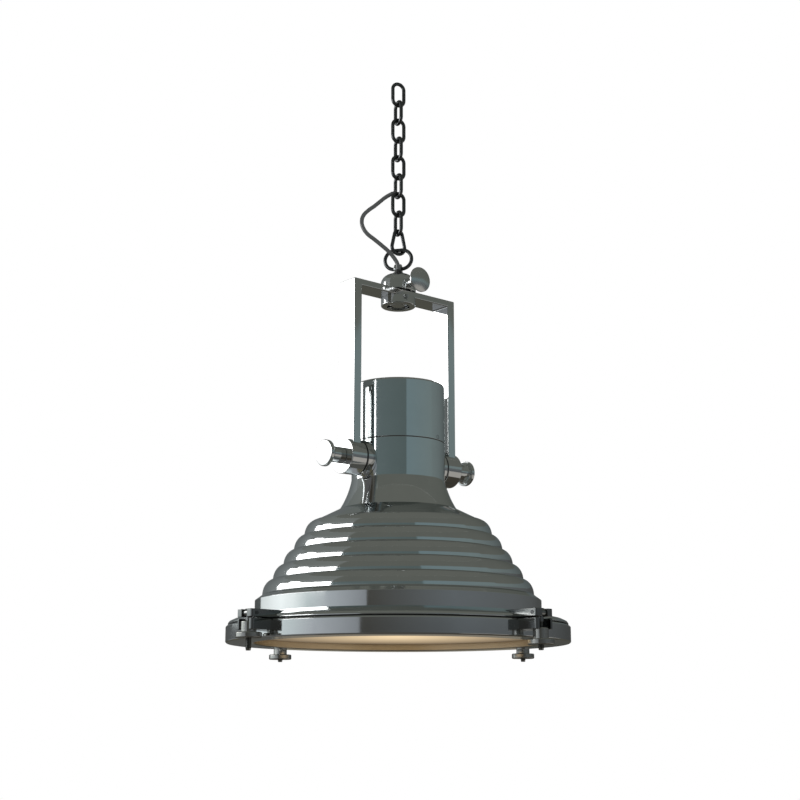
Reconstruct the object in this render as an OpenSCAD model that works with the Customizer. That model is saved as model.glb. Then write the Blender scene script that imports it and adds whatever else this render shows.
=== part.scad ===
// Chain-hung industrial pendant light: a ribbed bell shade tilts in a square yoke,
// and a clamped bezel closes its mouth with frosted glass.
// Millimetres, +Z up. The origin is the bearing point inside the top chain link.

/* [Chain] */
// Wire diameter of the chain links, the pear link and the ring
wire_d = 5.4; // [4.4:0.1:6]
// Outside length of an oval link
link_length = 40.8; // [38:0.2:48]
// Outside width of an oval link
link_width = 24.2; // [23.4:0.2:28]
// Outside length of the pear link
pear_length = 41.4; // [38:0.2:48]
// Outside width of the pear link's narrow top
pear_top_w = 18.4; // [17:0.2:22]
// Outside width of the pear link's wide bottom
pear_low_w = 26.4; // [25:0.2:32]
// Outside height of the oblong hanging ring
ring_height = 34.8; // [33:0.2:44]
// Outside width of the oblong hanging ring
ring_width = 46; // [45.4:0.2:56]
// Turn of the chain and the pear link about the vertical
chain_turn = -12.5; // [-20:0.5:0]
// Turn of the ring and the stem's eye about the vertical
ring_turn = -55; // [-70:1:-45]

/* [Swivel] */
// Outside diameter of the stem's eye
eye_d = 14.4; // [13:0.2:16]
// Thickness of the eye along its hole
eye_t = 10.4; // [8:0.2:11]
// Centre of the eye to the top of the yoke
eye_to_yoke = 36.1; // [35.8:0.1:50]
// Diameter of the stem's neck
neck_pin_d = 18; // [15:0.5:18.5]
// Diameter of the spindle that the yoke turns on
spindle_d = 21; // [20:0.5:22]
// Outside diameter of the domed hub
dome_d = 52; // [50:0.5:60]
// Height of the domed hub
dome_h = 26.2; // [24:0.2:26.4]
// Wall of the domed hub
dome_wall = 3; // [2:0.2:4]
// Outside diameter of the collar inside the hub
collar_d = 36; // [32:0.5:38]
// Height of the collar
collar_h = 11; // [9:0.5:13]
// Outside diameter of the ferrule under the yoke
ferrule_d = 51; // [46:0.5:56]
// Bore of the ferrule
ferrule_bore = 33; // [32:0.5:36]
// Height of the ferrule
ferrule_h = 13; // [12.5:0.5:20]
// Width across the flats of the spindle nut
stem_nut_af = 27; // [25:0.5:27.5]
// Height of the spindle nut
stem_nut_h = 8; // [6:0.5:9]

/* [Lock screw] */
// Diameter of the lock screw's disc head
lock_head_d = 37; // [30:0.5:42]
// Thickness of the disc head
lock_head_t = 8; // [6:0.5:12]
// Diameter of the lock screw's thread
lock_pin_d = 9; // [7:0.5:9.5]
// Diameter of the ridged grip behind the disc
lock_grip_d = 14; // [12:0.5:15]
// Length of the ridged grip
lock_grip_l = 18; // [14:0.5:24]
// Height of the lock screw above the yoke
lock_rise = 8; // [6.5:0.1:8.5]

/* [Flex] */
// Diameter of the flex
flex_d = 6; // [5:0.1:6.4]
// Distance of the cable gland from the swivel axis
gland_off = 16.5; // [16:0.1:17.5]
// Direction of the cable gland about the vertical
gland_turn = -130; // [-140:1:-120]
// Diameter of the gland's collar
gland_d = 11; // [10:0.2:11.6]
// Height of the gland's collar above its seat
gland_h = 9; // [7:0.2:11]

/* [Yoke] */
// Clear gap between the neck and a yoke leg
yoke_gap = 15.3; // [14:0.1:20]
// Thickness of a yoke leg
leg_t = 13.2; // [10:0.2:14]
// Thickness of the yoke's top bar
bar_t = 9.6; // [9.4:0.2:14]
// Depth of the yoke, front to back
yoke_depth = 36; // [32:0.5:42]
// Wall of the yoke's rectangular tube
yoke_wall = 2; // [1.6:0.1:2.4]
// Top of the yoke to the pivot axis
yoke_drop = 257.3; // [250:0.5:300]
// Diameter of the eye at the end of a leg
hub_d = 50; // [44:0.5:54]
// Length of the eye at the end of a leg
hub_l = 26; // [24:0.5:28]

/* [Pivots] */
// Diameter of the pivot bolt
pivot_d = 14; // [11:0.5:15]
// Bore through the pivot bolt for the flex
pivot_bore = 7; // [6.6:0.2:8]
// Diameter of the pivot boss on the neck
boss_d = 50; // [44:0.5:52]
// Thickness of the friction washer
washer_t = 1.5; // [1:0.1:2.5]
// Diameter of the knob's shank
knob_shank_d = 23; // [20:0.5:28]
// Length of the knob's shank
knob_shank_l = 26; // [22:0.5:32]
// Diameter of the knob's disc
knob_disc_d = 37; // [32:0.5:44]
// Thickness of the knob's disc
knob_disc_t = 6.5; // [5:0.5:10]

/* [Head] */
// Radius of the cap and the neck
neck_r = 67; // [62:0.5:68]
// Wall of the cap and the neck
neck_wall = 2.5; // [2:0.1:3.5]
// Pivot axis to the top of the cap
cap_rise = 113; // [100:0.5:130]
// Rounding of the cap's top edge
cap_round = 3; // [2.4:0.1:6]
// Pivot axis to the seam under the cap
seam_rise = 27.4; // [26:0.2:34]
// Height of the neck's spigot inside the cap
spigot_h = 10; // [8:0.5:14]
// Pivot boss down to the start of the flare
neck_under = 0.4; // [0.2:0.1:8]
// Height of the flare
flare_h = 60; // [54:0.5:68]
// Radius of the flare's foot
flare_r = 118.9; // [114:0.5:124]
// Radius of the flare's hollow curve
flare_curve = 120; // [90:1:200]
// Radius where the flare's sloping foot begins
skirt_r = 84; // [80:0.5:90]
// Height of the flare's sloping foot
skirt_h = 17.5; // [14:0.5:22]
// Diameter of the cap's grub screws
grub_d = 5; // [4:0.5:6]
// Direction of the first grub screw about the vertical
grub_turn = -73; // [-90:1:-60]

/* [Shade] */
// Wall of the spun shade
shade_wall = 1.6; // [1.2:0.1:2]
// Height of one rib
rib_h = 20.9; // [18:0.1:24]
// Outward step of one rib
rib_step = 14.34; // [12:0.1:16]
// Height of the chamfer between the ribs and the band
chamfer_h = 7.4; // [5:0.1:10]
// Outward step of that chamfer
chamfer_w = 10; // [7:0.1:12]
// Height of the plain band
band_h = 20.4; // [18:0.2:30]

/* [Rim] */
// Height of the rim flange
flange_h = 13.2; // [12:0.2:16]
// Outward reach of the rim flange past the band
flange_w = 36.4; // [34:0.2:40]
// Wall of the cored castings of the rim
cast_wall = 4; // [3:0.2:5]
// Thickness of the gasket
gasket_t = 1.8; // [1.2:0.1:3]
// Radial reach of the bezel past the flange
bezel_step = 3; // [1:0.5:6]
// Height of the bezel
bezel_h = 23; // [21:0.5:28]
// Width of the bezel's lower face
bezel_w = 39; // [36:0.5:44]
// Recess of the glass above the bezel's lower face
lens_recess = 10; // [8:0.2:12]
// Thickness of the glass
lens_t = 5; // [4:0.2:6]
// Width of the ledge that carries the glass
ledge_w = 7; // [5:0.5:9]
// Height of the ring that holds the glass down
retainer_h = 3; // [2:0.2:4]

/* [Clamps] */
// Turn of the clamps about the vertical
clamp_turn = 3.5; // [-6:0.5:6]
// Reach of the clamp bolts outside the bezel
clamp_reach = 22; // [20:0.5:26]
// Width of a clamp lug
lug_w = 32; // [30:0.5:38]
// Reach of a lug beyond the bolt
lug_end = 8; // [6.5:0.1:8]
// Thickness of the lugs on the flange
upper_lug_t = 10; // [9:0.2:13]
// Thickness of the lugs on the bezel
lower_lug_t = 14; // [12:0.2:16]
// Diameter of the swing bolts
bolt_d = 8; // [6:0.2:8.4]
// Diameter of the eye of a swing bolt
bolt_eye_d = 12; // [11:0.2:13]
// Diameter of the hinge pins of the swing bolts
hinge_pin_d = 5; // [4:0.2:5.6]
// Width of the slots in the upper lugs
slot_w = 10.6; // [9.6:0.2:12]
// Width of the slots in the lower lugs, which let the nuts' necks in
lower_slot_w = 21.4; // [21:0.2:23]
// Diameter of the clamp nut's disc
nut_disc_d = 34; // [30:0.5:38]
// Thickness of the clamp nut's disc
nut_disc_t = 7.5; // [5:0.5:9]
// Diameter of the clamp nut's neck
nut_neck_d = 20; // [16:0.5:20]
// Length of the clamp nut's neck
nut_neck_l = 14; // [11:0.5:16]
// Length of the swing bolts below their hinge
bolt_l = 47; // [46:0.5:54]

/* [Lamp] */
// Outside diameter of the lampholder
holder_d = 42; // [38:0.5:48]
// Length of the lampholder
holder_l = 60; // [54:0.5:70]
// Diameter of the bulb's screw cap
bulb_cap_d = 26.4; // [26:0.1:27]
// Length of the bulb's screw cap
bulb_cap_l = 25; // [22:0.5:28]
// Greatest diameter of the bulb
bulb_d = 60; // [50:1:70]
// Length of the bulb's glass
bulb_l = 88; // [78:1:94]
// Diameter of the inner wiring
wire_run_d = 4.4; // [4:0.1:4.5]

/* [Hidden] */
$fn = 96;

// Clearances: loose loops, faces that turn past each other, shafts in bores, and fitted seats
loop_gap = 0.3;
face_gap = 0.3;
run_gap = 0.05;
seat_gap = 0.02;
eye_gap = 0.4;

CHROME = [0.46, 0.49, 0.50];
DARK_STEEL = [0.20, 0.21, 0.22];
RUBBER = [0.06, 0.06, 0.06];
PORCELAIN = [0.90, 0.89, 0.86];
LAMP_GLASS = [0.96, 0.90, 0.78];
SLEEVE = [0.33, 0.34, 0.34];
BRASS = [0.72, 0.58, 0.32];

// Heights, from the top link downwards
link_pitch = link_length - 2 * wire_d - loop_gap;
function link_z(i) = wire_d / 2 - (i - 1) * link_pitch;
link_count = 8;
pear_z = link_z(link_count + 1);
ring_z = pear_z - (pear_length - wire_d) + wire_d + loop_gap;
eye_z = ring_z - (ring_height - wire_d);
yoke_z = eye_z - eye_to_yoke;
bar_low_z = yoke_z - bar_t;
pivot_z = yoke_z - yoke_drop;
cap_z = pivot_z + cap_rise;
seam_z = pivot_z + seam_rise;
neck_drop = boss_d / 2 + neck_under;
neck_z = pivot_z - neck_drop;
foot_z = neck_z - flare_h;
rib_count = 5;
ribs_z = foot_z - rib_count * rib_h;
band_z = ribs_z - chamfer_h;
flange_z = band_z - band_h;
flange_low_z = flange_z - flange_h;
bezel_z = flange_low_z - gasket_t;
bezel_low_z = bezel_z - bezel_h;
lens_z = bezel_low_z + lens_recess;

// Swivel hub
dome_low_z = yoke_z + face_gap;
dome_top_z = dome_low_z + dome_h;
dome_r = dome_d / 2;
dome_flat_r = neck_pin_d / 2 + 2;
dome_round = dome_r - dome_flat_r;
lock_z = yoke_z + lock_rise;
lock_boss_d = lock_pin_d + 6;
lock_boss_out = dome_r + 3;
nut_floor_z = bar_low_z - face_gap;
spindle_low_z = nut_floor_z - stem_nut_h - 3;
gland_seat_z = dome_top_z - 6;
gland_x = gland_off * cos(gland_turn);
gland_y = gland_off * sin(gland_turn);
gland_shank_d = gland_d - 2.6;

// Pivots, on the right side; the left side is mirrored
leg_in = neck_r + yoke_gap;
leg_out = leg_in + leg_t;
yoke_w = 2 * leg_out;
hub_in = leg_out - leg_t / 2 - hub_l / 2;
hub_out = hub_in + hub_l;
washer_in = hub_in - face_gap - washer_t;
boss_in = sqrt(neck_r * neck_r - boss_d * boss_d / 4) - 1;
bolt_head_t = 5;
bolt_head_d = pivot_d + 8;
bolt_head_x = neck_r - neck_wall - bolt_head_t - 1.5;
knob_in = hub_out + face_gap;
knob_out = knob_in + knob_shank_l + knob_disc_t;
pivot_end = knob_in + knob_shank_l - 4;

// Shade and rim
ribs_r = flare_r + rib_count * rib_step;
band_r = ribs_r + chamfer_w;
flange_r = band_r + flange_w;
bezel_r = flange_r + bezel_step;
lens_r = bezel_r - bezel_w;
lip_w = 18;
flange_slope_w = flange_w * 0.8;
flange_slope_h = flange_h * 0.5;
gasket_in = band_r + 5;
gasket_out = flange_r - 3;
spigot_r = band_r - shade_wall - seat_gap;
spigot_t = 3;
lens_edge_r = lens_r + ledge_w - 1;

// Clamps
bolt_circle_r = bezel_r + clamp_reach;
lug_out_r = bolt_circle_r + lug_end;
upper_lug_low_z = flange_low_z;
hinge_z = upper_lug_low_z + upper_lug_t / 2;
lower_lug_z = bezel_z - face_gap / 3;
lower_lug_low_z = lower_lug_z - lower_lug_t;
bolt_low_z = hinge_z - bolt_l;
// How far each nut is run back from its lug
nut_drop = [3, 12, 14, 15];
function nut_low_z(i) = lower_lug_low_z - nut_drop[i] - nut_disc_t;
slot_in_r = bolt_circle_r - bolt_eye_d / 2 - 1.5;
lower_slot_in_r = bolt_circle_r - lower_slot_w / 2;
station_turn = [for (t = [180, 270, 0, 90]) t + clamp_turn];

// Lamp
bracket_t = 2.5;
bracket_w = 24;
spigot_in_r = neck_r - 2 * neck_wall - seat_gap;
bracket_ledge_z = seam_z - 8;
bracket_l = 2 * (neck_r - neck_wall) - 1;
holder_z = bracket_ledge_z;
holder_low_z = holder_z - holder_l;
bulb_cap_z = holder_low_z + bulb_cap_l + 1;
bulb_neck_z = bulb_cap_z - bulb_cap_l;
bulb_low_z = bulb_neck_z - bulb_l;
bulb_r = bulb_d / 2;
bulb_wall = 1;
block_l = 44;
block_w = 18;
block_h = 14;

// Route of the flex, from the bottom of the gland's bore, as offsets from the gland's seat
FLEX_ROUTE = [[0, 0, -5], [0, 0, 4], [0, 0, 12], [-1, 1, 19], [-4, 4, 27], [-10, 9, 37], [-18, 16, 47],
    [-26, 24, 57], [-34, 31, 66], [-38, 36, 76], [-39, 38, 86], [-36, 38, 96], [-29, 35, 105],
    [-20, 32, 113], [-12, 29, 121], [-4, 25, 129], [5, 19, 136]];
// Cut ends of the three cores, past the end of the sheath
CORE_REACH = 7;
CORE_D = 1.8;

// Route of the wiring inside the yoke: along the bar, round the corner and down the left leg
run_x = leg_t / 2 - leg_out;
run_z = yoke_z - bar_t / 2;
YOKE_ROUTE = [[-13, 0, run_z], [-40, 0, run_z], [-leg_in + 1, 0, run_z], [run_x + 1.5, 0, run_z - 0.6],
    [run_x, 0, run_z - 8], [run_x, 0, run_z - 60], [run_x, 0, run_z - 120], [run_x, 0, run_z - 180],
    [run_x, 0, pivot_z + hub_d / 2 + 2]];

// Route of the wiring inside the head: out of the left pivot bolt, up past the bracket, to the terminals
LAMP_ROUTE = [[4 - hub_out, 0, pivot_z], [-hub_in, 0, pivot_z], [-neck_r, 0, pivot_z],
    [3 - bolt_head_x, 0, pivot_z], [12 - bolt_head_x, 4, pivot_z + 3], [16 - bolt_head_x, 13, pivot_z + 9],
    [17 - bolt_head_x, 17, pivot_z + 20], [18 - bolt_head_x, 17, seam_z + 2],
    [21 - bolt_head_x, 11, seam_z + 6], [-block_l / 2 - 6, 2, bracket_ledge_z + block_h / 2],
    [-block_l / 2 - 0.2, 2, bracket_ledge_z + block_h / 2]];

// Tube swept along a route, with rings square to it
function unit(v) = v / norm(v);
function route_dir(p, i) =
    let (n = len(p) - 1)
    i == 0 ? unit(p[1] - p[0])
        : i == n ? unit(p[n] - p[n - 1])
        : unit(unit(p[i] - p[i - 1]) + unit(p[i + 1] - p[i]));
function carried(v, d) = unit(v - (v * d) * d);
function route_side(p, i, v) = carried(i == 0 ? v : route_side(p, i - 1, v), route_dir(p, i));
function ring_points(p, r, sides) = [
    for (i = [0 : len(p) - 1])
        let (d = route_dir(p, i), a = route_side(p, i, [0.31, 0.95, 0.05]), b = cross(d, a))
            for (k = [0 : sides - 1]) p[i] + r * (cos(k * 360 / sides) * a + sin(k * 360 / sides) * b)];
function tube_faces(rings, sides) = concat(
    [[for (k = [sides - 1 : -1 : 0]) k]],
    [for (i = [0 : rings - 2], k = [0 : sides - 1])
        let (a = i * sides + k, b = i * sides + (k + 1) % sides)
            each [[a, b, b + sides], [a, b + sides, a + sides]]],
    [[for (k = [0 : sides - 1]) (rings - 1) * sides + k]]);

module swept_tube(points, d, sides) {
    inward = tube_faces(len(points), sides);
    outward = [for (f = inward) [for (k = [len(f) - 1 : -1 : 0]) f[k]]];
    polyhedron(points = ring_points(points, d / 2, sides), faces = outward);
}

// Half of a wire ring of the given centre-line radius, standing on the XZ plane above its centre
module wire_arc(r, from, sweep) {
    rotate([90, 0, 0])
        rotate([0, 0, from])
            rotate_extrude(angle = sweep)
                translate([r, 0])
                    circle(d = wire_d);
}

// Oval wire loop in the XZ plane, hanging from the centre of its top wire
module oval_loop(length, width) {
    r = (width - wire_d) / 2;
    straight = length - width;
    translate([0, 0, -r]) {
        wire_arc(r, 0, 180);
        for (x = [-r, r])
            translate([x, 0, -straight])
                cylinder(d = wire_d, h = straight);
        translate([0, 0, -straight])
            wire_arc(r, 180, 180);
    }
}

// Links with even numbers stand a quarter turn from those with odd numbers
module chain_link(i) {
    color(DARK_STEEL)
        translate([0, 0, link_z(i)])
            rotate([0, 0, chain_turn + (i % 2 == 1 ? 0 : 90)])
                oval_loop(link_length, link_width);
}

module chain_link_1() { chain_link(1); }
module chain_link_2() { chain_link(2); }
module chain_link_3() { chain_link(3); }
module chain_link_4() { chain_link(4); }
module chain_link_5() { chain_link(5); }
module chain_link_6() { chain_link(6); }
module chain_link_7() { chain_link(7); }
module chain_link_8() { chain_link(8); }

// Pear-shaped connecting link: two arcs joined by straight legs that touch both
module pear_link() {
    $fn = 40;
    top_r = (pear_top_w - wire_d) / 2;
    low_r = (pear_low_w - wire_d) / 2;
    reach = pear_length - wire_d - top_r - low_r;
    lean = asin((low_r - top_r) / reach);
    color(DARK_STEEL)
        translate([0, 0, pear_z - top_r])
            rotate([0, 0, chain_turn]) {
                wire_arc(top_r, lean, 180 - 2 * lean);
                translate([0, 0, -reach])
                    wire_arc(low_r, 180 - lean, 180 + 2 * lean);
                for (side = [-1, 1])
                    translate([side * top_r * cos(lean), 0, top_r * sin(lean)])
                        rotate([0, 180 - side * lean, 0]) {
                            cylinder(d = wire_d, h = reach * cos(lean));
                            sphere(d = wire_d + 0.2);
                            translate([0, 0, reach * cos(lean)])
                                sphere(d = wire_d + 0.2);
                        }
            }
}

// Oblong ring with its long side level, so that the pear link and the eye bear on straight bars
module hanging_ring() {
    r = (ring_height - wire_d) / 2;
    half = (ring_width - ring_height) / 2;
    color(DARK_STEEL)
        translate([0, 0, ring_z - r])
            rotate([0, 0, ring_turn]) {
                for (side = [-1, 1])
                    translate([side * half, 0, 0])
                        wire_arc(r, side * -90, 180);
                for (z = [-r, r])
                    translate([-half, 0, z])
                        rotate([0, 90, 0])
                            cylinder(d = wire_d, h = 2 * half);
            }
}

// Stem: eye for the ring, neck, and the spindle that carries the yoke
module swivel_stem() {
    color(CHROME)
        difference() {
            union() {
                translate([0, 0, eye_z])
                    rotate([0, 0, ring_turn])
                        rotate([0, 90, 0])
                            translate([0, 0, -eye_t / 2])
                                cylinder(d = eye_d, h = eye_t);
                translate([0, 0, dome_top_z - 1])
                    cylinder(d = neck_pin_d, h = eye_z - eye_d * 0.4 - dome_top_z + 1);
                translate([0, 0, spindle_low_z])
                    cylinder(d = spindle_d, h = dome_top_z - dome_wall - seat_gap - spindle_low_z);
                translate([0, 0, dome_top_z - dome_wall - 1])
                    cylinder(d = neck_pin_d, h = dome_wall + 1);
            }
            translate([0, 0, eye_z])
                rotate([0, 0, ring_turn])
                    rotate([0, 90, 0])
                        translate([0, 0, -eye_t])
                            cylinder(d = wire_d + 2 * eye_gap, h = 2 * eye_t);
        }
}

// Hexagonal nut on the spindle's lower end, inside the ferrule
module stem_nut() {
    color(CHROME)
        difference() {
            translate([0, 0, nut_floor_z - stem_nut_h])
                cylinder(d = stem_nut_af / cos(30), h = stem_nut_h, $fn = 6);
            translate([0, 0, nut_floor_z - stem_nut_h - 1])
                cylinder(d = spindle_d + 2 * seat_gap, h = stem_nut_h + 2);
        }
}

// Solid outline of the domed hub, shrunk by the given amount
module dome_outline(inset) {
    translate([0, 0, dome_low_z])
        rotate_extrude()
            intersection() {
                union() {
                    square([dome_r - inset, dome_h - dome_round]);
                    square([dome_flat_r, dome_h - inset]);
                    translate([dome_flat_r, dome_h - dome_round])
                        circle(r = dome_round - inset);
                }
                square([dome_r, dome_h]);
            }
}

// Domed hub over the swivel, with a boss for the lock screw and a seat for the cable gland
module hub_dome() {
    color(CHROME)
        difference() {
            union() {
                dome_outline(0);
                translate([0, 0, lock_z])
                    rotate([90, 0, 0])
                        translate([0, 0, dome_r - dome_wall])
                            cylinder(d = lock_boss_d, h = lock_boss_out - dome_r + dome_wall);
            }
            difference() {
                dome_outline(dome_wall);
                translate([-dome_r, -dome_r, dome_top_z - dome_wall])
                    cube([dome_d, dome_d, dome_wall]);
            }
            translate([0, 0, dome_low_z])
                cylinder(d = neck_pin_d + 2 * seat_gap, h = dome_h + 1);
            translate([0, 0, lock_z])
                rotate([90, 0, 0])
                    cylinder(d = lock_pin_d + 2 * run_gap, h = lock_boss_out + 1);
            translate([gland_x, gland_y, gland_seat_z])
                cylinder(d = gland_d + 2 * seat_gap, h = dome_h);
            translate([gland_x, gland_y, dome_low_z])
                cylinder(d = gland_shank_d + 2 * seat_gap, h = dome_h);
            translate([-dome_d, -dome_d, yoke_z - 5])
                cube([2 * dome_d, 2 * dome_d, 5 + face_gap]);
        }
}

// Tapered cable gland in the shoulder of the hub
module cord_gland() {
    color(RUBBER)
        translate([gland_x, gland_y, gland_seat_z])
            difference() {
                union() {
                    cylinder(d1 = gland_d, d2 = flex_d + 2, h = gland_h);
                    translate([0, 0, -5])
                        cylinder(d = gland_shank_d, h = 5);
                }
                translate([0, 0, -6])
                    cylinder(d = flex_d + 2 * run_gap, h = gland_h + 7);
            }
}

flex_points = [for (p = FLEX_ROUTE) [gland_x, gland_y, gland_seat_z] + p];
flex_end = flex_points[len(flex_points) - 1];
flex_end_dir = route_dir(flex_points, len(flex_points) - 1);

// Round flex that rises from the gland and bows out beside the chain
module flex_cord() {
    color(SLEEVE)
        swept_tube(flex_points, flex_d, 10);
}

// The three cut cores at the end of the flex, face to face with its sheath
module flex_cores() {
    side = unit(cross(flex_end_dir, [0, 0, 1]));
    over = cross(side, flex_end_dir);
    color(BRASS)
        for (k = [0 : 2]) {
            foot = flex_end + 1.4 * (cos(120 * k + 90) * side + sin(120 * k + 90) * over);
            swept_tube([foot, foot + (CORE_REACH - k) * flex_end_dir], CORE_D, 8);
        }
}

// Lock screw: thread, ridged grip and a broad disc head
module lock_screw() {
    grip_in = lock_boss_out + face_gap;
    head_r = lock_head_d / 2;
    ridge = 0.8;
    ridge_pitch = 3.6;
    ridges = floor((lock_grip_l - 2) / ridge_pitch);
    color(CHROME)
        translate([0, 0, lock_z])
            rotate([90, 0, 0])
                difference() {
                    union() {
                        translate([0, 0, collar_d / 2 + face_gap])
                            cylinder(d = lock_pin_d, h = grip_in - collar_d / 2);
                        translate([0, 0, grip_in])
                            cylinder(d = lock_grip_d, h = lock_grip_l);
                        translate([0, 0, grip_in + lock_grip_l])
                            rotate_extrude()
                                polygon([[0, 0], [head_r - 1.2, 0], [head_r, 1.2],
                                    [head_r, lock_head_t - 1.2], [head_r - 1.2, lock_head_t],
                                    [0, lock_head_t]]);
                    }
                    for (k = [1 : ridges])
                        translate([0, 0, grip_in + k * ridge_pitch - 1.2])
                            difference() {
                                cylinder(d = lock_grip_d + 2, h = 1.2);
                                translate([0, 0, -1])
                                    cylinder(d = lock_grip_d - 2 * ridge, h = 4);
                            }
                }
}

// Collar on the yoke that the lock screw bears on
module swivel_collar() {
    color(CHROME)
        translate([0, 0, yoke_z])
            difference() {
                cylinder(d = collar_d, h = collar_h);
                translate([0, 0, -1])
                    cylinder(d = spindle_d + 2 * run_gap, h = collar_h + 2);
            }
}

// Round ferrule under the yoke's bar, round the spindle nut
module ferrule() {
    lip = 1.2;
    color(CHROME)
        translate([0, 0, bar_low_z - ferrule_h])
            difference() {
                rotate_extrude()
                    polygon([[ferrule_bore / 2, 0], [ferrule_d / 2 - lip, 0], [ferrule_d / 2, lip],
                        [ferrule_d / 2, ferrule_h], [ferrule_bore / 2, ferrule_h]]);
                translate([0, 0, -1])
                    cylinder(d = ferrule_bore, h = ferrule_h + 2);
            }
}

// Square yoke of rectangular tube: a bar, two legs, and a round eye at the end of each leg
module yoke() {
    hollow = yoke_depth - 2 * yoke_wall;
    leg_low_z = pivot_z;
    color(CHROME)
        difference() {
            union() {
                translate([-leg_out, -yoke_depth / 2, bar_low_z])
                    cube([yoke_w, yoke_depth, bar_t]);
                for (x = [-leg_out, leg_in])
                    translate([x, -yoke_depth / 2, leg_low_z])
                        cube([leg_t, yoke_depth, yoke_z - leg_low_z]);
                for (x = [-hub_out, hub_in])
                    translate([x, 0, pivot_z])
                        rotate([0, 90, 0])
                            cylinder(d = hub_d, h = hub_l);
            }
            translate([yoke_wall - leg_out, -hollow / 2, bar_low_z + yoke_wall])
                cube([yoke_w - 2 * yoke_wall, hollow, bar_t - 2 * yoke_wall]);
            for (x = [yoke_wall - leg_out, leg_in + yoke_wall])
                translate([x, -hollow / 2, pivot_z + hub_d / 2 + 1])
                    cube([leg_t - 2 * yoke_wall, hollow, yoke_drop - hub_d / 2 - 1 - yoke_wall]);
            translate([0, 0, bar_low_z - 1])
                cylinder(d = spindle_d + 2 * run_gap, h = bar_t + 2);
            for (x = [-hub_out - 1, hub_in - 1])
                translate([x, 0, pivot_z])
                    rotate([0, 90, 0])
                        cylinder(d = pivot_d + 2 * run_gap, h = hub_l + 2);
            translate([leg_t / 2 - leg_out, 0, pivot_z])
                cylinder(d = wire_run_d + 1, h = hub_d / 2 + 2);
        }
}

// Wiring drawn through the yoke's tube
module yoke_wiring() {
    color(RUBBER)
        swept_tube(YOKE_ROUTE, wire_run_d, 8);
}

// Builds a right-hand pivot piece on the right (1), or mirrored on the left (-1)
module at_pivot(side) {
    translate([0, 0, pivot_z])
        mirror([side == 1 ? 0 : 1, 0, 0])
            rotate([0, 90, 0])
                children();
}

// Boss saddled on the neck
module pivot_boss(side) {
    color(CHROME)
        difference() {
            at_pivot(side)
                difference() {
                    translate([0, 0, boss_in])
                        cylinder(d = boss_d, h = washer_in - boss_in);
                    cylinder(d = pivot_d + 2 * seat_gap, h = washer_in + 1);
                }
            translate([0, 0, neck_z])
                cylinder(r = neck_r + seat_gap, h = neck_drop + seam_rise);
        }
}

// Hollow pivot bolt, headed inside the neck
module pivot_bolt(side) {
    color(CHROME)
        at_pivot(side)
            difference() {
                union() {
                    translate([0, 0, bolt_head_x])
                        cylinder(d = bolt_head_d, h = bolt_head_t);
                    translate([0, 0, bolt_head_x])
                        cylinder(d = pivot_d, h = pivot_end - bolt_head_x);
                }
                translate([0, 0, bolt_head_x - 1])
                    cylinder(d = pivot_bore, h = hub_out - bolt_head_x);
                translate([0, 0, leg_out - leg_t / 2])
                    rotate([0, -90, 0])
                        cylinder(d = wire_run_d + 1, h = pivot_d);
            }
}

// Friction washer between the boss and the yoke's eye
module pivot_washer(side) {
    color(DARK_STEEL)
        at_pivot(side)
            translate([0, 0, washer_in])
                difference() {
                    cylinder(d = boss_d, h = washer_t);
                    translate([0, 0, -1])
                        cylinder(d = pivot_d + 2 * seat_gap, h = washer_t + 2);
                }
}

// Knob that tightens the tilt: a plain shank with a disc at its end
module tilt_knob(side) {
    edge = 1;
    shank_r = knob_shank_d / 2;
    disc_r = knob_disc_d / 2;
    tall = knob_shank_l + knob_disc_t;
    color(CHROME)
        at_pivot(side)
            difference() {
                translate([0, 0, knob_in])
                    rotate_extrude()
                        polygon([[0, 0], [shank_r - edge, 0], [shank_r, edge], [shank_r, knob_shank_l],
                            [disc_r - edge, knob_shank_l], [disc_r, knob_shank_l + edge],
                            [disc_r, tall - edge], [disc_r - edge, tall], [0, tall]]);
                translate([0, 0, knob_in - 1])
                    cylinder(d = pivot_d + 2 * run_gap, h = pivot_end - knob_in + 1 + face_gap);
            }
}

module pivot_boss_left() { pivot_boss(-1); }
module pivot_boss_right() { pivot_boss(1); }
module pivot_bolt_left() { pivot_bolt(-1); }
module pivot_bolt_right() { pivot_bolt(1); }
module pivot_washer_left() { pivot_washer(-1); }
module pivot_washer_right() { pivot_washer(1); }
module tilt_knob_left() { tilt_knob(-1); }
module tilt_knob_right() { tilt_knob(1); }

// Places something at each grub screw's height, pointing outwards
module at_grubs() {
    for (k = [0 : 2])
        rotate([0, 0, grub_turn + 120 * k])
            translate([0, 0, seam_z + spigot_h * 0.45])
                rotate([0, 90, 0])
                    children();
}

// Cylindrical cap with a rounded top edge, open below
module top_cap() {
    tall = cap_z - seam_z - face_gap;
    color(CHROME)
        difference() {
            translate([0, 0, seam_z + face_gap])
                rotate_extrude()
                    difference() {
                        union() {
                            square([neck_r, tall - cap_round]);
                            square([neck_r - cap_round, tall]);
                            translate([neck_r - cap_round, tall - cap_round])
                                circle(r = cap_round);
                        }
                        translate([-neck_r, -neck_r])
                            square([neck_r, 2 * neck_r + tall]);
                        translate([-1, -1])
                            square([neck_r - neck_wall + 1, tall - neck_wall + 1]);
                    }
            at_grubs()
                cylinder(d = grub_d + 2 * seat_gap, h = neck_r + 5);
        }
}

// Grub screws that hold the cap on the neck's spigot
module cap_screws() {
    color(DARK_STEEL)
        at_grubs()
            translate([0, 0, spigot_in_r + 0.3])
                difference() {
                    cylinder(d = grub_d, h = neck_r - spigot_in_r - 0.6);
                    translate([0, 0, neck_r - spigot_in_r - 2])
                        cylinder(d = grub_d * 0.5, h = 3, $fn = 6);
                }
}

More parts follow.
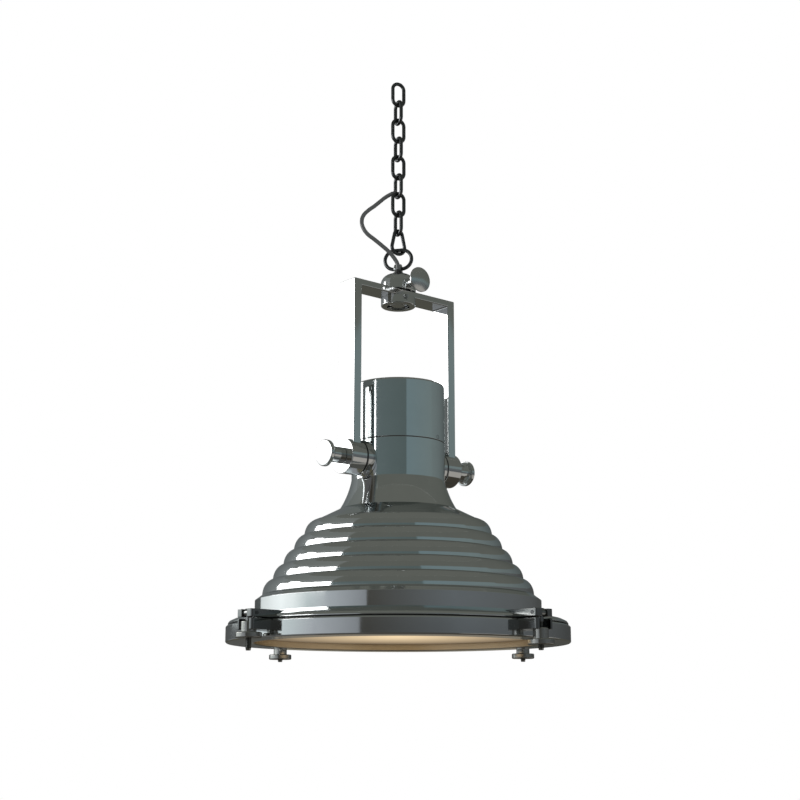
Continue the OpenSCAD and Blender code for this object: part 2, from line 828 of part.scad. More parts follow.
// Points of the flare's hollow curve, from the neck to its sloping foot, moved in by the given amount
function flare_points(inset) =
    let (a = [neck_r, flare_h], b = [skirt_r, skirt_h], mid = (a + b) / 2, half = norm(b - a) / 2)
    let (across = unit([a[1] - b[1], b[0] - a[0]]), back = sqrt(flare_curve * flare_curve - half * half))
    let (centre = mid + across * back, start = atan2(a[1] - centre[1], a[0] - centre[0]))
    let (step = 2 * asin(half / flare_curve) / 8)
        [for (k = [0 : 8]) centre + (flare_curve + inset) * [cos(start + step * k), sin(start + step * k)]];

// Neck and flare: a hollow casting with a spigot for the cap and a foot that sits on the shade
module neck_housing() {
    top = seam_z - foot_z;
    outer = flare_points(0);
    foot_in = flare_r - lip_w;
    bore_r = neck_r - neck_wall;
    inner = [for (p = flare_points(neck_wall)) if (p[0] > bore_r) p];
    skirt_w = flare_r - skirt_r;
    skirt_wall = neck_wall * norm([skirt_w, skirt_h]) / skirt_w;
    skirt_in = [[skirt_r - 1, skirt_h * (1 + 1 / skirt_w) - skirt_wall],
        [foot_in, skirt_h * lip_w / skirt_w - skirt_wall]];
    color(CHROME)
        difference() {
            union() {
                translate([0, 0, foot_z])
                    rotate_extrude()
                        polygon(concat(
                            [[neck_r, top]], outer, [[flare_r, 0], [foot_in, 0], skirt_in[1], skirt_in[0]],
                            [for (k = [len(inner) - 1 : -1 : 0]) inner[k]],
                            [[bore_r, flare_h], [bore_r, top]]));
                translate([0, 0, bracket_ledge_z])
                    difference() {
                        cylinder(r = neck_r - neck_wall - seat_gap, h = seam_z + spigot_h - bracket_ledge_z);
                        translate([0, 0, -1])
                            cylinder(r = spigot_in_r, h = seam_z + spigot_h - bracket_ledge_z + 2);
                    }
                translate([0, 0, bracket_ledge_z])
                    difference() {
                        cylinder(r = neck_r - neck_wall / 2, h = seam_z - bracket_ledge_z);
                        translate([0, 0, -1])
                            cylinder(r = spigot_in_r, h = seam_z + spigot_h - bracket_ledge_z + 2);
                    }
            }
            for (side = [-1, 1])
                at_pivot(side)
                    cylinder(d = pivot_d + 2 * seat_gap, h = neck_r + 2);
            at_grubs()
                cylinder(d = grub_d + 2 * seat_gap, h = neck_r + 5);
            at_neck_screws()
                translate([0, 0, -10])
                    cylinder(d = neck_screw_d + 2 * seat_gap, h = 30);
            at_bracket_screws()
                translate([0, 0, -2])
                    cylinder(d = bracket_screw_d + 2 * seat_gap, h = 8);
        }
}

neck_screw_d = 4;
neck_screw_head_d = 8;
neck_screw_head_h = 2.4;

// Places something at each screw of the flare's foot
module at_neck_screws() {
    for (k = [0 : 5])
        rotate([0, 0, 60 * k + 30])
            translate([flare_r - lip_w * 0.72, 0, foot_z])
                children();
}

// Screws that hold the flare's foot on the shade, put in from below
module neck_screws() {
    color(DARK_STEEL)
        at_neck_screws() {
            translate([0, 0, -shade_wall - neck_screw_head_h])
                cylinder(d = neck_screw_head_d, h = neck_screw_head_h);
            translate([0, 0, -shade_wall])
                cylinder(d = neck_screw_d, h = shade_wall + neck_wall + 1);
        }
}

// Points of the ribbed side, from the foot of the flare to the band's lower edge
rib_segments = 8;
function rib_points(inset) = [
    for (i = [0 : rib_count - 1], k = [0 : rib_segments])
        let (t = 90 * k / rib_segments)
            [flare_r + i * rib_step + (rib_step - inset * 0.2) * sin(t) - inset * 0.8,
            foot_z - i * rib_h - rib_h * (1 - cos(t)) - inset * 0.6 * cos(t)]];

// Spun shade: ribs, chamfer and plain band, with a flat lip under the flare's foot
module ribbed_shade() {
    lip_in = flare_r - lip_w;
    w = shade_wall;
    color(CHROME)
        difference() {
            rotate_extrude()
                polygon(concat(
                    [[lip_in, foot_z]], rib_points(0),
                    [[band_r, band_z], [band_r, flange_z], [band_r - w, flange_z]],
                    [[band_r - w, band_z - w * 0.3], [ribs_r - w * 1.2, ribs_z - w * 0.6]],
                    [for (i = [len(rib_points(w)) - 1 : -1 : 0]) rib_points(w)[i]],
                    [[flare_r - w, foot_z - w], [lip_in, foot_z - w]]));
            at_neck_screws()
                translate([0, 0, -10])
                    cylinder(d = neck_screw_d + 2 * seat_gap, h = 30);
        }
}

// Places something at one clamp station, pointing outwards along +X
module at_station(i) {
    rotate([0, 0, station_turn[i]])
        children();
}

// Flat lug between two radii, as wide as the clamps, with rounded outer corners
module lug(from_r, low_z, tall) {
    corner = 4;
    translate([0, 0, low_z])
        linear_extrude(tall)
            union() {
                translate([from_r, -lug_w / 2])
                    square([lug_out_r - corner - from_r, lug_w]);
                translate([from_r, corner - lug_w / 2])
                    square([lug_out_r - from_r, lug_w - 2 * corner]);
                for (y = [-1, 1])
                    translate([lug_out_r - corner, y * (lug_w / 2 - corner)])
                        circle(r = corner);
            }
}

// Slot, open outwards, that a swing bolt lies in
module slot(wide, in_r, low_z, tall) {
    translate([in_r, -wide / 2, low_z])
        cube([lug_out_r - in_r + 1, wide, tall]);
}

// Rim flange of the shade, with the lugs that the swing bolts hinge in
module rim_flange() {
    root_r = band_r + flange_w * 0.35;
    color(CHROME)
        difference() {
            union() {
                rotate_extrude()
                    polygon([[spigot_r - spigot_t, flange_low_z], [flange_r, flange_low_z],
                        [flange_r, flange_low_z + 1.6], [flange_r - 1.6, flange_low_z + 4],
                        [band_r + flange_slope_w, flange_z - flange_slope_h], [band_r + 2, flange_z],
                        [spigot_r, flange_z], [spigot_r, flange_z + 8],
                        [spigot_r - spigot_t, flange_z + 8]]);
                for (i = [0 : 3])
                    at_station(i)
                        lug(root_r, upper_lug_low_z, upper_lug_t);
            }
            for (i = [0 : 3])
                at_station(i) {
                    slot(slot_w, slot_in_r, upper_lug_low_z - 1, upper_lug_t + flange_h);
                    translate([bolt_circle_r, lug_w / 2 + 1, hinge_z])
                        rotate([90, 0, 0])
                            cylinder(d = hinge_pin_d + 2 * seat_gap, h = lug_w + 2);
                }
        }
}

// Gasket between the flange and the bezel
module gasket() {
    color(RUBBER)
        translate([0, 0, bezel_z])
            difference() {
                cylinder(r = gasket_out, h = gasket_t);
                translate([0, 0, -1])
                    cylinder(r = gasket_in, h = gasket_t + 2);
            }
}

// Bezel ring: carries the glass on a ledge, with open slots for the swing bolts in its lugs
module bezel_ring() {
    edge = 1.5;
    wall_in = lens_r + ledge_w;
    core_r = bezel_r - 2.5 * cast_wall;
    color(CHROME)
        difference() {
            union() {
                rotate_extrude()
                    polygon([[lens_r, bezel_low_z + 1], [lens_r + 1, bezel_low_z],
                        [bezel_r - edge, bezel_low_z], [bezel_r, bezel_low_z + edge],
                        [bezel_r, bezel_z - edge], [bezel_r - edge, bezel_z], [core_r, bezel_z],
                        [core_r, lens_z], [wall_in + cast_wall, lens_z], [wall_in + cast_wall, bezel_z],
                        [wall_in, bezel_z], [wall_in, lens_z], [lens_r, lens_z]]);
                for (i = [0 : 3])
                    at_station(i)
                        lug(bezel_r - 6, lower_lug_low_z, lower_lug_t);
            }
            for (i = [0 : 3])
                at_station(i)
                    slot(lower_slot_w, lower_slot_in_r, lower_lug_low_z - 1, lower_lug_t + 2);
        }
}

// Frosted glass on the bezel's ledge
module glass_lens() {
    color(LAMP_GLASS)
        translate([0, 0, lens_z])
            cylinder(r = lens_edge_r, h = lens_t);
}

// Ring that holds the glass down
module lens_retainer() {
    color(DARK_STEEL)
        translate([0, 0, lens_z + lens_t])
            difference() {
                cylinder(r = lens_r + ledge_w - seat_gap, h = retainer_h);
                translate([0, 0, -1])
                    cylinder(r = lens_r - 1, h = retainer_h + 2);
            }
}

// Swing bolt: a flat eye on the hinge pin and a round shank that hangs through the bezel's slot
module swing_bolt(i) {
    eye_w = slot_w - 2 * face_gap;
    color(CHROME)
        at_station(i)
            difference() {
                union() {
                    translate([bolt_circle_r, eye_w / 2, hinge_z])
                        rotate([90, 0, 0])
                            cylinder(d = bolt_eye_d, h = eye_w);
                    translate([bolt_circle_r, 0, bolt_low_z])
                        cylinder(d = bolt_d, h = hinge_z - bolt_low_z);
                }
                translate([bolt_circle_r, eye_w, hinge_z])
                    rotate([90, 0, 0])
                        cylinder(d = hinge_pin_d + 2 * run_gap, h = 2 * eye_w);
            }
}

module swing_bolt_1() { swing_bolt(0); }
module swing_bolt_2() { swing_bolt(1); }
module swing_bolt_3() { swing_bolt(2); }
module swing_bolt_4() { swing_bolt(3); }

// Pins that the swing bolts turn on
module hinge_pins() {
    color(DARK_STEEL)
        for (i = [0 : 3])
            at_station(i)
                translate([bolt_circle_r, lug_w / 2 + 0.5, hinge_z])
                    rotate([90, 0, 0])
                        cylinder(d = hinge_pin_d, h = lug_w + 1);
}

// Clamp nut: a plain neck with a disc below it
module clamp_nut(i) {
    edge = 1;
    color(CHROME)
        at_station(i)
            translate([bolt_circle_r, 0, nut_low_z(i)])
                difference() {
                    rotate_extrude()
                        polygon([[0, 0], [nut_disc_d / 2 - edge, 0], [nut_disc_d / 2, edge],
                            [nut_disc_d / 2, nut_disc_t - edge], [nut_disc_d / 2 - edge, nut_disc_t],
                            [nut_neck_d / 2, nut_disc_t], [nut_neck_d / 2, nut_disc_t + nut_neck_l - edge],
                            [nut_neck_d / 2 - edge, nut_disc_t + nut_neck_l], [0, nut_disc_t + nut_neck_l]]);
                    translate([0, 0, -1])
                        cylinder(d = bolt_d + 2 * run_gap, h = nut_neck_l + nut_disc_t + 2);
                }
}

module clamp_nut_1() { clamp_nut(0); }
module clamp_nut_2() { clamp_nut(1); }
module clamp_nut_3() { clamp_nut(2); }
module clamp_nut_4() { clamp_nut(3); }

bracket_screw_d = 3;

// Places something at each screw of the bracket, at the ledge under the neck's spigot
module at_bracket_screws() {
    for (y = [-1, 1])
        translate([0, y * (bracket_l / 2 - 3), bracket_ledge_z])
            children();
}

// Strip across the neck that carries the lampholder and the terminal block
module holder_bracket() {
    color(DARK_STEEL)
        difference() {
            translate([-bracket_w / 2, -bracket_l / 2, bracket_ledge_z - bracket_t])
                intersection() {
                    cube([bracket_w, bracket_l, bracket_t]);
                    translate([bracket_w / 2, bracket_l / 2, -1])
                        cylinder(r = neck_r - neck_wall - 0.4, h = bracket_t + 2);
                }
            at_bracket_screws()
                translate([0, 0, -bracket_t - 1])
                    cylinder(d = bracket_screw_d + 2 * seat_gap, h = bracket_t + 2);
            translate([0, 0, bracket_ledge_z - bracket_t - 1])
                cylinder(d = holder_nipple_d + 2 * seat_gap, h = bracket_t + 2);
        }
}

// Screws that hold the bracket up against the ledge
module bracket_screws() {
    color(BRASS)
        at_bracket_screws() {
            translate([0, 0, -bracket_t - 2])
                cylinder(d = bracket_screw_d + 2, h = 2);
            translate([0, 0, -bracket_t])
                cylinder(d = bracket_screw_d, h = bracket_t + 5);
        }
}

holder_nipple_d = 10;

// Porcelain lampholder, hung from the bracket by a threaded nipple
module lampholder() {
    top = bracket_ledge_z - bracket_t;
    color(PORCELAIN)
        difference() {
            union() {
                translate([0, 0, holder_low_z])
                    cylinder(d = holder_d, h = top - holder_low_z - 8);
                translate([0, 0, top - 8])
                    cylinder(d1 = holder_d, d2 = holder_d - 12, h = 8);
                translate([0, 0, top - 1])
                    cylinder(d = holder_nipple_d, h = bracket_t + 4);
            }
            translate([0, 0, holder_low_z - 1])
                cylinder(d = bulb_cap_d + 2 * face_gap, h = bulb_cap_l + 2 + face_gap);
        }
}

// Screw cap of the bulb
module bulb_cap() {
    color(BRASS)
        translate([0, 0, bulb_neck_z])
            difference() {
                rotate_extrude()
                    polygon([[0, 0], [bulb_cap_d / 2, 0], [bulb_cap_d / 2, bulb_cap_l - 6],
                        [5, bulb_cap_l - 1], [5, bulb_cap_l], [0, bulb_cap_l]]);
                translate([0, 0, -1])
                    cylinder(d = bulb_cap_d - 2, h = bulb_cap_l - 8);
            }
}

// Half outline of the bulb's glass at a wall inset: a neck that swells into a ball
module bulb_half(inset) {
    neck_hr = bulb_cap_d / 2 - 1.5 - inset;
    intersection() {
        union() {
            translate([0, bulb_low_z + bulb_r])
                circle(r = bulb_r - inset);
            polygon([[0, bulb_low_z + bulb_r], [(bulb_r - inset) * 0.9, bulb_low_z + bulb_r * 1.42],
                [neck_hr, bulb_neck_z - 8], [neck_hr, bulb_neck_z], [0, bulb_neck_z]]);
        }
        translate([0, bulb_low_z])
            square([bulb_d, bulb_l]);
    }
}

// Bulb of opal glass
module bulb_glass() {
    color(LAMP_GLASS)
        rotate_extrude()
            difference() {
                bulb_half(0);
                bulb_half(bulb_wall);
            }
}

// Terminal block on top of the bracket
module terminal_block() {
    color(PORCELAIN)
        difference() {
            translate([-block_l / 2, -block_w / 2, bracket_ledge_z])
                cube([block_l, block_w, block_h]);
            translate([0, 0, bracket_ledge_z - 1])
                cylinder(d = holder_nipple_d + 2, h = 8);
            for (x = [-14, 14])
                translate([x, 0, bracket_ledge_z + 4])
                    cylinder(d = 5, h = block_h);
        }
}

// Wiring from the left pivot bolt to the terminal block
module lamp_wiring() {
    color(RUBBER)
        swept_tube(LAMP_ROUTE, wire_run_d, 8);
}

chain_link_1();
chain_link_2();
chain_link_3();
chain_link_4();
chain_link_5();
chain_link_6();
chain_link_7();
chain_link_8();
pear_link();
hanging_ring();
swivel_stem();
stem_nut();
hub_dome();
cord_gland();
flex_cord();
flex_cores();
lock_screw();
swivel_collar();
ferrule();
yoke();
yoke_wiring();
pivot_boss_left();
pivot_boss_right();
pivot_bolt_left();
pivot_bolt_right();
pivot_washer_left();
pivot_washer_right();
tilt_knob_left();
tilt_knob_right();
top_cap();
cap_screws();
neck_housing();
neck_screws();
ribbed_shade();
rim_flange();
gasket();
bezel_ring();
glass_lens();
lens_retainer();
swing_bolt_1();
swing_bolt_2();
swing_bolt_3();
swing_bolt_4();
hinge_pins();
clamp_nut_1();
clamp_nut_2();
clamp_nut_3();
clamp_nut_4();
holder_bracket();
bracket_screws();
lampholder();
bulb_cap();
bulb_glass();
terminal_block();
lamp_wiring();
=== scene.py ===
import math

import bmesh
import bpy
from mathutils import Matrix, Vector


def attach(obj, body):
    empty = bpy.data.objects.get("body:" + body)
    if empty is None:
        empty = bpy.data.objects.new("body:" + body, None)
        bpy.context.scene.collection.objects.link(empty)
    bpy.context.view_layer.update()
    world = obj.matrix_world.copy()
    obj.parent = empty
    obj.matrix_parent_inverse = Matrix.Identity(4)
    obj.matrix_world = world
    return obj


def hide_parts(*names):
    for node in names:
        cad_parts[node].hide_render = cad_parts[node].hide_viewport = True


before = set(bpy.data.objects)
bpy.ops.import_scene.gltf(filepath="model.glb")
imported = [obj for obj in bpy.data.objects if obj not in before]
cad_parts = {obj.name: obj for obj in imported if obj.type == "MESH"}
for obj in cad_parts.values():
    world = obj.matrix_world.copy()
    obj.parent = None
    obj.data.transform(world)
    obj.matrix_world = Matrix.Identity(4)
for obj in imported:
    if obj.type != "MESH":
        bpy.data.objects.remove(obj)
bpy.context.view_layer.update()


# Ribbed shade
# Spun from sheet steel over a former: five round ribs, a chamfer and a plain band, then polished
# and plated. The neck's foot is screwed to its flat top, and its band drops over the rim's spigot.
class Value:
    """A shader value that takes part in plain sums."""

    def __init__(self, tree, socket):
        self.tree = tree
        self.socket = socket

    def sum(self, operation, a, b):
        node = self.tree.nodes.new("ShaderNodeMath")
        node.operation = operation
        for slot, value in zip(node.inputs, (a, b)):
            if isinstance(value, Value):
                self.tree.links.new(value.socket, slot)
            else:
                slot.default_value = value
        return Value(self.tree, node.outputs[0])

    def __add__(self, other):
        return self.sum("ADD", self, other)

    def __radd__(self, other):
        return self.sum("ADD", other, self)

    def __sub__(self, other):
        return self.sum("SUBTRACT", self, other)

    def __rsub__(self, other):
        return self.sum("SUBTRACT", other, self)

    def __mul__(self, other):
        return self.sum("MULTIPLY", self, other)

    def __rmul__(self, other):
        return self.sum("MULTIPLY", other, self)

    def __pow__(self, other):
        return self.sum("POWER", self, other)


class Finish:
    """A surface finish under construction, node by node."""

    def __init__(self, name, holder=None):
        self.holder = holder or bpy.data.materials.new(name)
        self.holder.use_nodes = True
        self.tree = self.holder.node_tree
        self.tree.nodes.clear()

    def node(self, kind, settings=None, sockets=None, out=0):
        made = self.tree.nodes.new("ShaderNode" + kind)
        for key, value in (settings or {}).items():
            setattr(made, key, value)
        for key, value in (sockets or {}).items():
            if isinstance(value, Value):
                self.tree.links.new(value.socket, made.inputs[key])
            else:
                made.inputs[key].default_value = value
        if isinstance(out, tuple):
            return [Value(self.tree, made.outputs[k]) for k in out]
        return Value(self.tree, made.outputs[out]) if out is not None else self.holder


def shades(tint, spread):
    """The darker and the lighter shade that a tint wanders between."""
    return [(*[c * share for c in tint], 1) for share in (1 - spread, 1 + spread)]


def plating(name, tint, at=(0, 0, 0), turn=(0, 0, 0), polish=0.05, drawn=False, bore=None):
    """Polished plating, with fine lines round the axis it was turned on and faint hand marks.

    A bore is a radius and a tint: inside that radius the metal is rougher and takes that tint, a painted
    reflection of the glass's warm glow.
    """
    make = Finish(name)
    spot = make.node("TexCoord", out="Object")
    own = make.node("Mapping", {"vector_type": "TEXTURE"},
                    {"Vector": spot, "Location": at, "Rotation": turn})
    x, y, z = make.node("SeparateXYZ", None, {0: own}, (0, 1, 2))
    across, along = (y, 0.0) if drawn else ((x * x + y * y) ** 0.5, z)
    track = make.node("CombineXYZ", None, {0: across, 2: along})
    lines = make.node("TexNoise", None, {"Vector": track, "Scale": 1400.0, "Detail": 3.0, "Roughness": 0.7})
    marks = make.node("TexNoise", None, {"Vector": spot, "Scale": 34.0, "Detail": 5.0, "Roughness": 0.62})
    sway = make.node("TexNoise", None, {"Vector": spot, "Scale": 11.0, "Detail": 1.0})
    dark, pale = shades(tint, 0.06)
    colour = make.node("Mix", {"data_type": "RGBA"}, {0: marks, 6: dark, 7: pale}, 2)
    gloss = polish + 0.06 * marks * marks + 0.03 * lines
    if bore:
        bore_radius, bore_tint = bore
        inside = make.node("Math", {"operation": "LESS_THAN"}, {0: across, 1: bore_radius})
        colour = make.node("Mix", {"data_type": "RGBA"}, {0: inside, 6: colour, 7: (*bore_tint, 1)}, 2)
        gloss = gloss + inside * 0.2
    rise = make.node("Bump", None, {"Strength": 0.12, "Distance": 0.0006,
                                    "Height": lines * 0.06 + marks * 0.05 + sway * 0.9})
    shader = make.node("BsdfPrincipled", None, {
        "Base Color": colour, "Metallic": 1.0, "Roughness": gloss,
        "Specular Tint": (0.7, 0.72, 0.72, 1), "Normal": rise})
    return make.node("OutputMaterial", None, {"Surface": shader}, None)


def rounded(form, edges, radius, segments):
    """Rounds the given edges by a radius in millimetres."""
    bmesh.ops.bevel(form, geom=edges, offset=radius / 1000, offset_type="OFFSET", affect="EDGES",
                    segments=segments, profile=0.5, material=-1, clamp_overlap=True)
    return form


def eased(form, soft):
    """Rounds every sharp edge by the given millimetres."""
    sharp = [e for e in form.edges if len(e.link_faces) == 2 and e.calc_face_angle(0.0) > 0.45]
    return rounded(form, sharp, soft, 3)


def turned(outline, soft=0.3, steps=160):
    """Sweeps an outline of (radius, height) points, in millimetres, once round the upright axis."""
    form = bmesh.new()
    corners = [form.verts.new((r / 1000, 0, z / 1000)) for r, z in outline]
    for a, b in zip(corners, corners[1:] + corners[:1]):
        if a.co.x > 1e-6 or b.co.x > 1e-6:
            form.edges.new((a, b))
    bmesh.ops.spin(form, geom=form.verts[:] + form.edges[:], cent=(0, 0, 0), axis=(0, 0, 1), angle=math.tau,
                   steps=steps, use_merge=True)
    bmesh.ops.remove_doubles(form, verts=form.verts[:], dist=1e-7)
    bmesh.ops.recalc_face_normals(form, faces=form.faces[:])
    return eased(form, soft) if soft else form


def piece(name, form, finish, slot, body, *nodes):
    """Puts a finished form into the scene, on its body and in place of its solids."""
    mesh = bpy.data.meshes.new(name)
    form.to_mesh(mesh)
    form.free()
    mesh.shade_smooth()
    mesh.set_sharp_from_angle(angle=0.7)
    mesh.materials.append(finish)
    made = bpy.data.objects.new(name, mesh)
    bpy.context.scene.collection.objects.link(made)
    made.modifiers.new("even", "WEIGHTED_NORMAL").keep_sharp = True
    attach(made, body)
    if nodes:
        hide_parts(*nodes)
    return made


CHROME = (0.79, 0.80, 0.80)
foot_z, foot_r, lip_w, wall = -673.4, 118.9, 18.0, 1.6
rib_out, rib_down, wide_steps = 14.34, 20.9, 192
quarter = [math.radians(90 * step / 14) for step in range(15)]
ribs, ribs_in = [], []
for rib in range(5):
    r, z = foot_r + rib_out * rib, foot_z - rib_down * rib
    for t in quarter:
        ribs.append((r + rib_out * math.sin(t), z - rib_down * (1 - math.cos(t))))
        ribs_in.append((r + (rib_out - 0.2 * wall) * math.sin(t) - 0.8 * wall,
                        z - rib_down * (1 - math.cos(t)) - 0.6 * wall * math.cos(t)))
band_r, band_z, flange_z = 200.6, -785.3, -805.7
chamfer_in = (ribs[-1][0] - 1.2 * wall, ribs[-1][1] - 0.6 * wall)
shade = turned([(foot_r - lip_w, foot_z), *ribs, (band_r, band_z), (band_r, flange_z),
                (band_r - wall, flange_z), (band_r - wall, band_z - 0.3 * wall), chamfer_in,
                *reversed(ribs_in), (foot_r - wall, foot_z - wall), (foot_r - lip_w, foot_z - wall)],
               0.35, wide_steps)
piece("ribbed_shade_shell", shade, plating("spun_plating", CHROME), "chrome", "head", "ribbed_shade")


# Neck and flare
# An aluminium casting, turned, polished and plated: a straight neck that flares to a broad foot.
# A spigot at its top takes the cap, and six screws from below hold its foot to the shade.
seam_z, neck_r, casting, bend_r, flare_h = -560.6, 67.0, 2.5, 120.0, 60.0
slope_r, slope_h, slope_wall = 84.0, 17.5, 2.8
high, low = Vector((neck_r, foot_z + flare_h)), Vector((slope_r, foot_z + slope_h))
half = (low - high).length / 2
across = Vector((high.y - low.y, low.x - high.x)).normalized()
hub = (high + low) / 2 + across * math.sqrt(bend_r ** 2 - half ** 2)
first = math.atan2(high.y - hub.y, high.x - hub.x)
sweep = 2 * math.asin(half / bend_r)


def flare(radius):
    """Points of the flare's hollow curve, from the neck down to its sloping foot."""
    turns = [first + sweep * k / 16 for k in range(17)]
    return [(hub.x + radius * math.cos(t), hub.y + radius * math.sin(t)) for t in turns]


bore_r = neck_r - casting
spigot_r, spigot_in, spigot_low, spigot_top = bore_r - 0.02, bore_r - casting, seam_z - 8, seam_z + 10
foot_rise = slope_h * lip_w / (foot_r - low.x) - slope_wall
neck = turned([(neck_r, seam_z), *flare(bend_r), (foot_r, foot_z), (foot_r - lip_w, foot_z),
               (foot_r - lip_w, foot_z + foot_rise), (low.x - 1, low.y - 2.3),
               *reversed([p for p in flare(bend_r + casting) if p[0] > bore_r]), (bore_r, foot_z + flare_h),
               (bore_r, spigot_low), (spigot_in, spigot_low), (spigot_in, spigot_top),
               (spigot_r, spigot_top), (spigot_r, seam_z)], 0.6)
CAST = (0.79, 0.805, 0.805)
cast_plating = plating("cast_plating", CAST)
piece("neck_and_flare", neck, cast_plating, "cast_aluminium", "head", "neck_housing")


def speckled(name, tint, polish, metal=0.0, grain=700.0, depth=0.25, coat=0.0):
    """A plain finish with a fine grain and a slow change of shade."""
    make = Finish(name)
    spot = make.node("TexCoord", out="Object")
    fine = make.node("TexNoise", None, {"Vector": spot, "Scale": grain, "Detail": 4.0, "Roughness": 0.6})
    slow = make.node("TexNoise", None, {"Vector": spot, "Scale": 45.0, "Detail": 3.0})
    dark, pale = shades(tint, 0.22)
    colour = make.node("Mix", {"data_type": "RGBA"}, {0: fine * 0.5 + slow * 0.5, 6: dark, 7: pale}, 2)
    rise = make.node("Bump", None, {"Strength": depth, "Distance": 0.0003, "Height": fine})
    shader = make.node("BsdfPrincipled", None, {
        "Base Color": colour, "Metallic": metal, "Roughness": polish - 0.08 + 0.16 * slow,
        "Coat Weight": coat, "Normal": rise})
    return make.node("OutputMaterial", None, {"Surface": shader}, None)


def dress(finish, *nodes):
    """Gives solids that stay as they are their finish."""
    for node in nodes:
        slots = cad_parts[node].data.materials
        slots.clear()
        slots.append(finish)


DARK_STEEL = (0.13, 0.135, 0.14)
dark_steel = speckled("dark_steel", DARK_STEEL, 0.36, 1.0)
dress(dark_steel, "neck_screws")

# Cap, seam shadow ring and grub screws
# A turned and plated aluminium cap with a small rounding at its top edge, dropped over the neck's
# spigot and held by three socket grub screws just above the seam. A thin black rubber ring in the
# seam is painted shade: a dark thing put in to stand for the shadow line of the gap.
cap_z, cap_low, edge, flat_r = -475.0, seam_z + 0.9, 3.0, 30.0
rounding = [(neck_r - edge + edge * math.cos(a), cap_z - edge + edge * math.sin(a))
            for a in map(math.radians, range(0, 91, 10))]
cap = turned([(neck_r, cap_low), *rounding, (flat_r, cap_z), (0, cap_z), (0, cap_z - casting),
              (bore_r, cap_z - casting), (bore_r, cap_low)], 0.4)
piece("cap_shell", cap, cast_plating, "cast_aluminium", "head", "top_cap")


def sleeve(inner, outer, low, high):
    """The outline of a plain ring."""
    return [(inner, low), (outer, low), (outer, high), (inner, high)]


rubber = speckled("black_rubber", (0.018, 0.018, 0.018), 0.62, 0.0, 1500.0, 0.4)
# Painted shade: this thin black ring in the seam stands in for the dark shadow line of the gap between cap
# and neck.
seam_shade_in, seam_shade_out = 64.6, 66.5
seam_shade_ring = turned(sleeve(seam_shade_in, seam_shade_out, seam_z, cap_low), 0.0)
piece("painted_seam_shadow", seam_shade_ring, rubber, "black_rubber", "head")


def moved(form, matrix):
    """Moves a form by a matrix."""
    bmesh.ops.transform(form, matrix=matrix, verts=form.verts[:])
    return form


def joined(*forms):
    """One form out of several."""
    whole = bmesh.new()
    for form in forms:
        part = bpy.data.meshes.new("part")
        form.to_mesh(part)
        form.free()
        whole.from_mesh(part)
        bpy.data.meshes.remove(part)
    return whole


def spun_about(axis, at):
    """Stands a form that was turned upright on another axis, at a point in millimetres."""
    return Matrix.Translation(Vector(at) / 1000) @ Vector(axis).to_track_quat("Z", "Y").to_matrix().to_4x4()


grub_r, grub_long, socket_r, grub_rise, grub_bearing = 2.9, 3.0, 1.45, 4.5, -73
grubs = []
for k in range(3):
    a = math.radians(grub_bearing + 120 * k)
    grub = turned([(grub_r, -grub_long), (grub_r, 0.16), (grub_r - 0.35, 0.2), (grub_r - 0.45, -0.1),
                   (socket_r, -0.15), (socket_r - 0.15, -1.6), (0, -1.7), (0, -grub_long)], 0.06, 24)
    out = Vector((math.cos(a), math.sin(a), 0))
    grubs.append(moved(grub, spun_about(out, (neck_r * out.x, neck_r * out.y, seam_z + grub_rise))))
black_oxide = speckled("black_oxide", (0.014, 0.015, 0.015), 0.5, 0.3)
piece("cap_grub_screws", joined(*grubs), black_oxide, "dark_steel", "head", "cap_screws")

# Rim flange and hinge lugs
# A plated casting under the shade: its spigot stands inside the band, and four forked lugs on its
# outer edge carry the pins that the clamp bolts swing on.
flange_low, flange_r, flange_edge = -818.9, 237.0, 1.6
rim_in, rim_out, rim_top = 195.98, 198.98, flange_z + 8
crest_r, fall_r, fall_h = 202.6, 229.72, 6.6
rim = turned([(rim_in, flange_low), (flange_r, flange_low), (flange_r, flange_low + flange_edge),
              (flange_r - flange_edge, flange_low + 4), (fall_r, flange_z - fall_h), (crest_r, flange_z),
              (rim_out, flange_z), (rim_out, rim_top), (rim_in, rim_top)], 0.5, wide_steps)


def only(kind, parts):
    """The parts of one kind out of what an operator returns."""
    return [part for part in parts if isinstance(part, kind)]


def raised(corners, rise):
    """Raises a flat face on corner points, all in millimetres, into a solid."""
    form = bmesh.new()
    face = form.faces.new([form.verts.new([c / 1000 for c in corner]) for corner in corners])
    grown = bmesh.ops.extrude_face_region(form, geom=[face])["geom"]
    bmesh.ops.translate(form, verts=only(bmesh.types.BMVert, grown), vec=[c / 1000 for c in rise])
    bmesh.ops.recalc_face_normals(form, faces=form.faces[:])
    return form


def fork(inner, slot, slot_end, low, tall, outer=270.0, wide=32.0, corner_r=4.0):
    """A flat lug along +X with rounded outer corners and a slot that is open at its outer end."""
    plan = [(inner, -wide / 2), (outer, -wide / 2), (outer, -slot / 2), (slot_end, -slot / 2),
            (slot_end, slot / 2), (outer, slot / 2), (outer, wide / 2), (inner, wide / 2)]
    form = raised([(x, y, low) for x, y in plan], (0, 0, tall))
    corners = []
    for side_edge in form.edges:
        a, b = (v.co for v in side_edge.verts)
        outside = all(p.x > (outer - 0.1) / 1000 and abs(p.y) > (wide - 0.2) / 2000 for p in (a, b))
        if outside and a.y * b.y > 0 and abs(a.z - b.z) > 1e-5:
            corners.append(side_edge)
    return eased(rounded(form, corners, corner_r, 6), 0.6)


clamp_turn = 3.5
STATIONS = {1: 180 + clamp_turn, 2: 270 + clamp_turn, 3: clamp_turn, 4: 90 + clamp_turn}


def lugs(**sizes):
    """One fork at each of the four clamp stations."""
    turns = [Matrix.Rotation(math.radians(t), 4, "Z") for t in STATIONS.values()]
    return joined(*[moved(fork(**sizes), turn) for turn in turns])


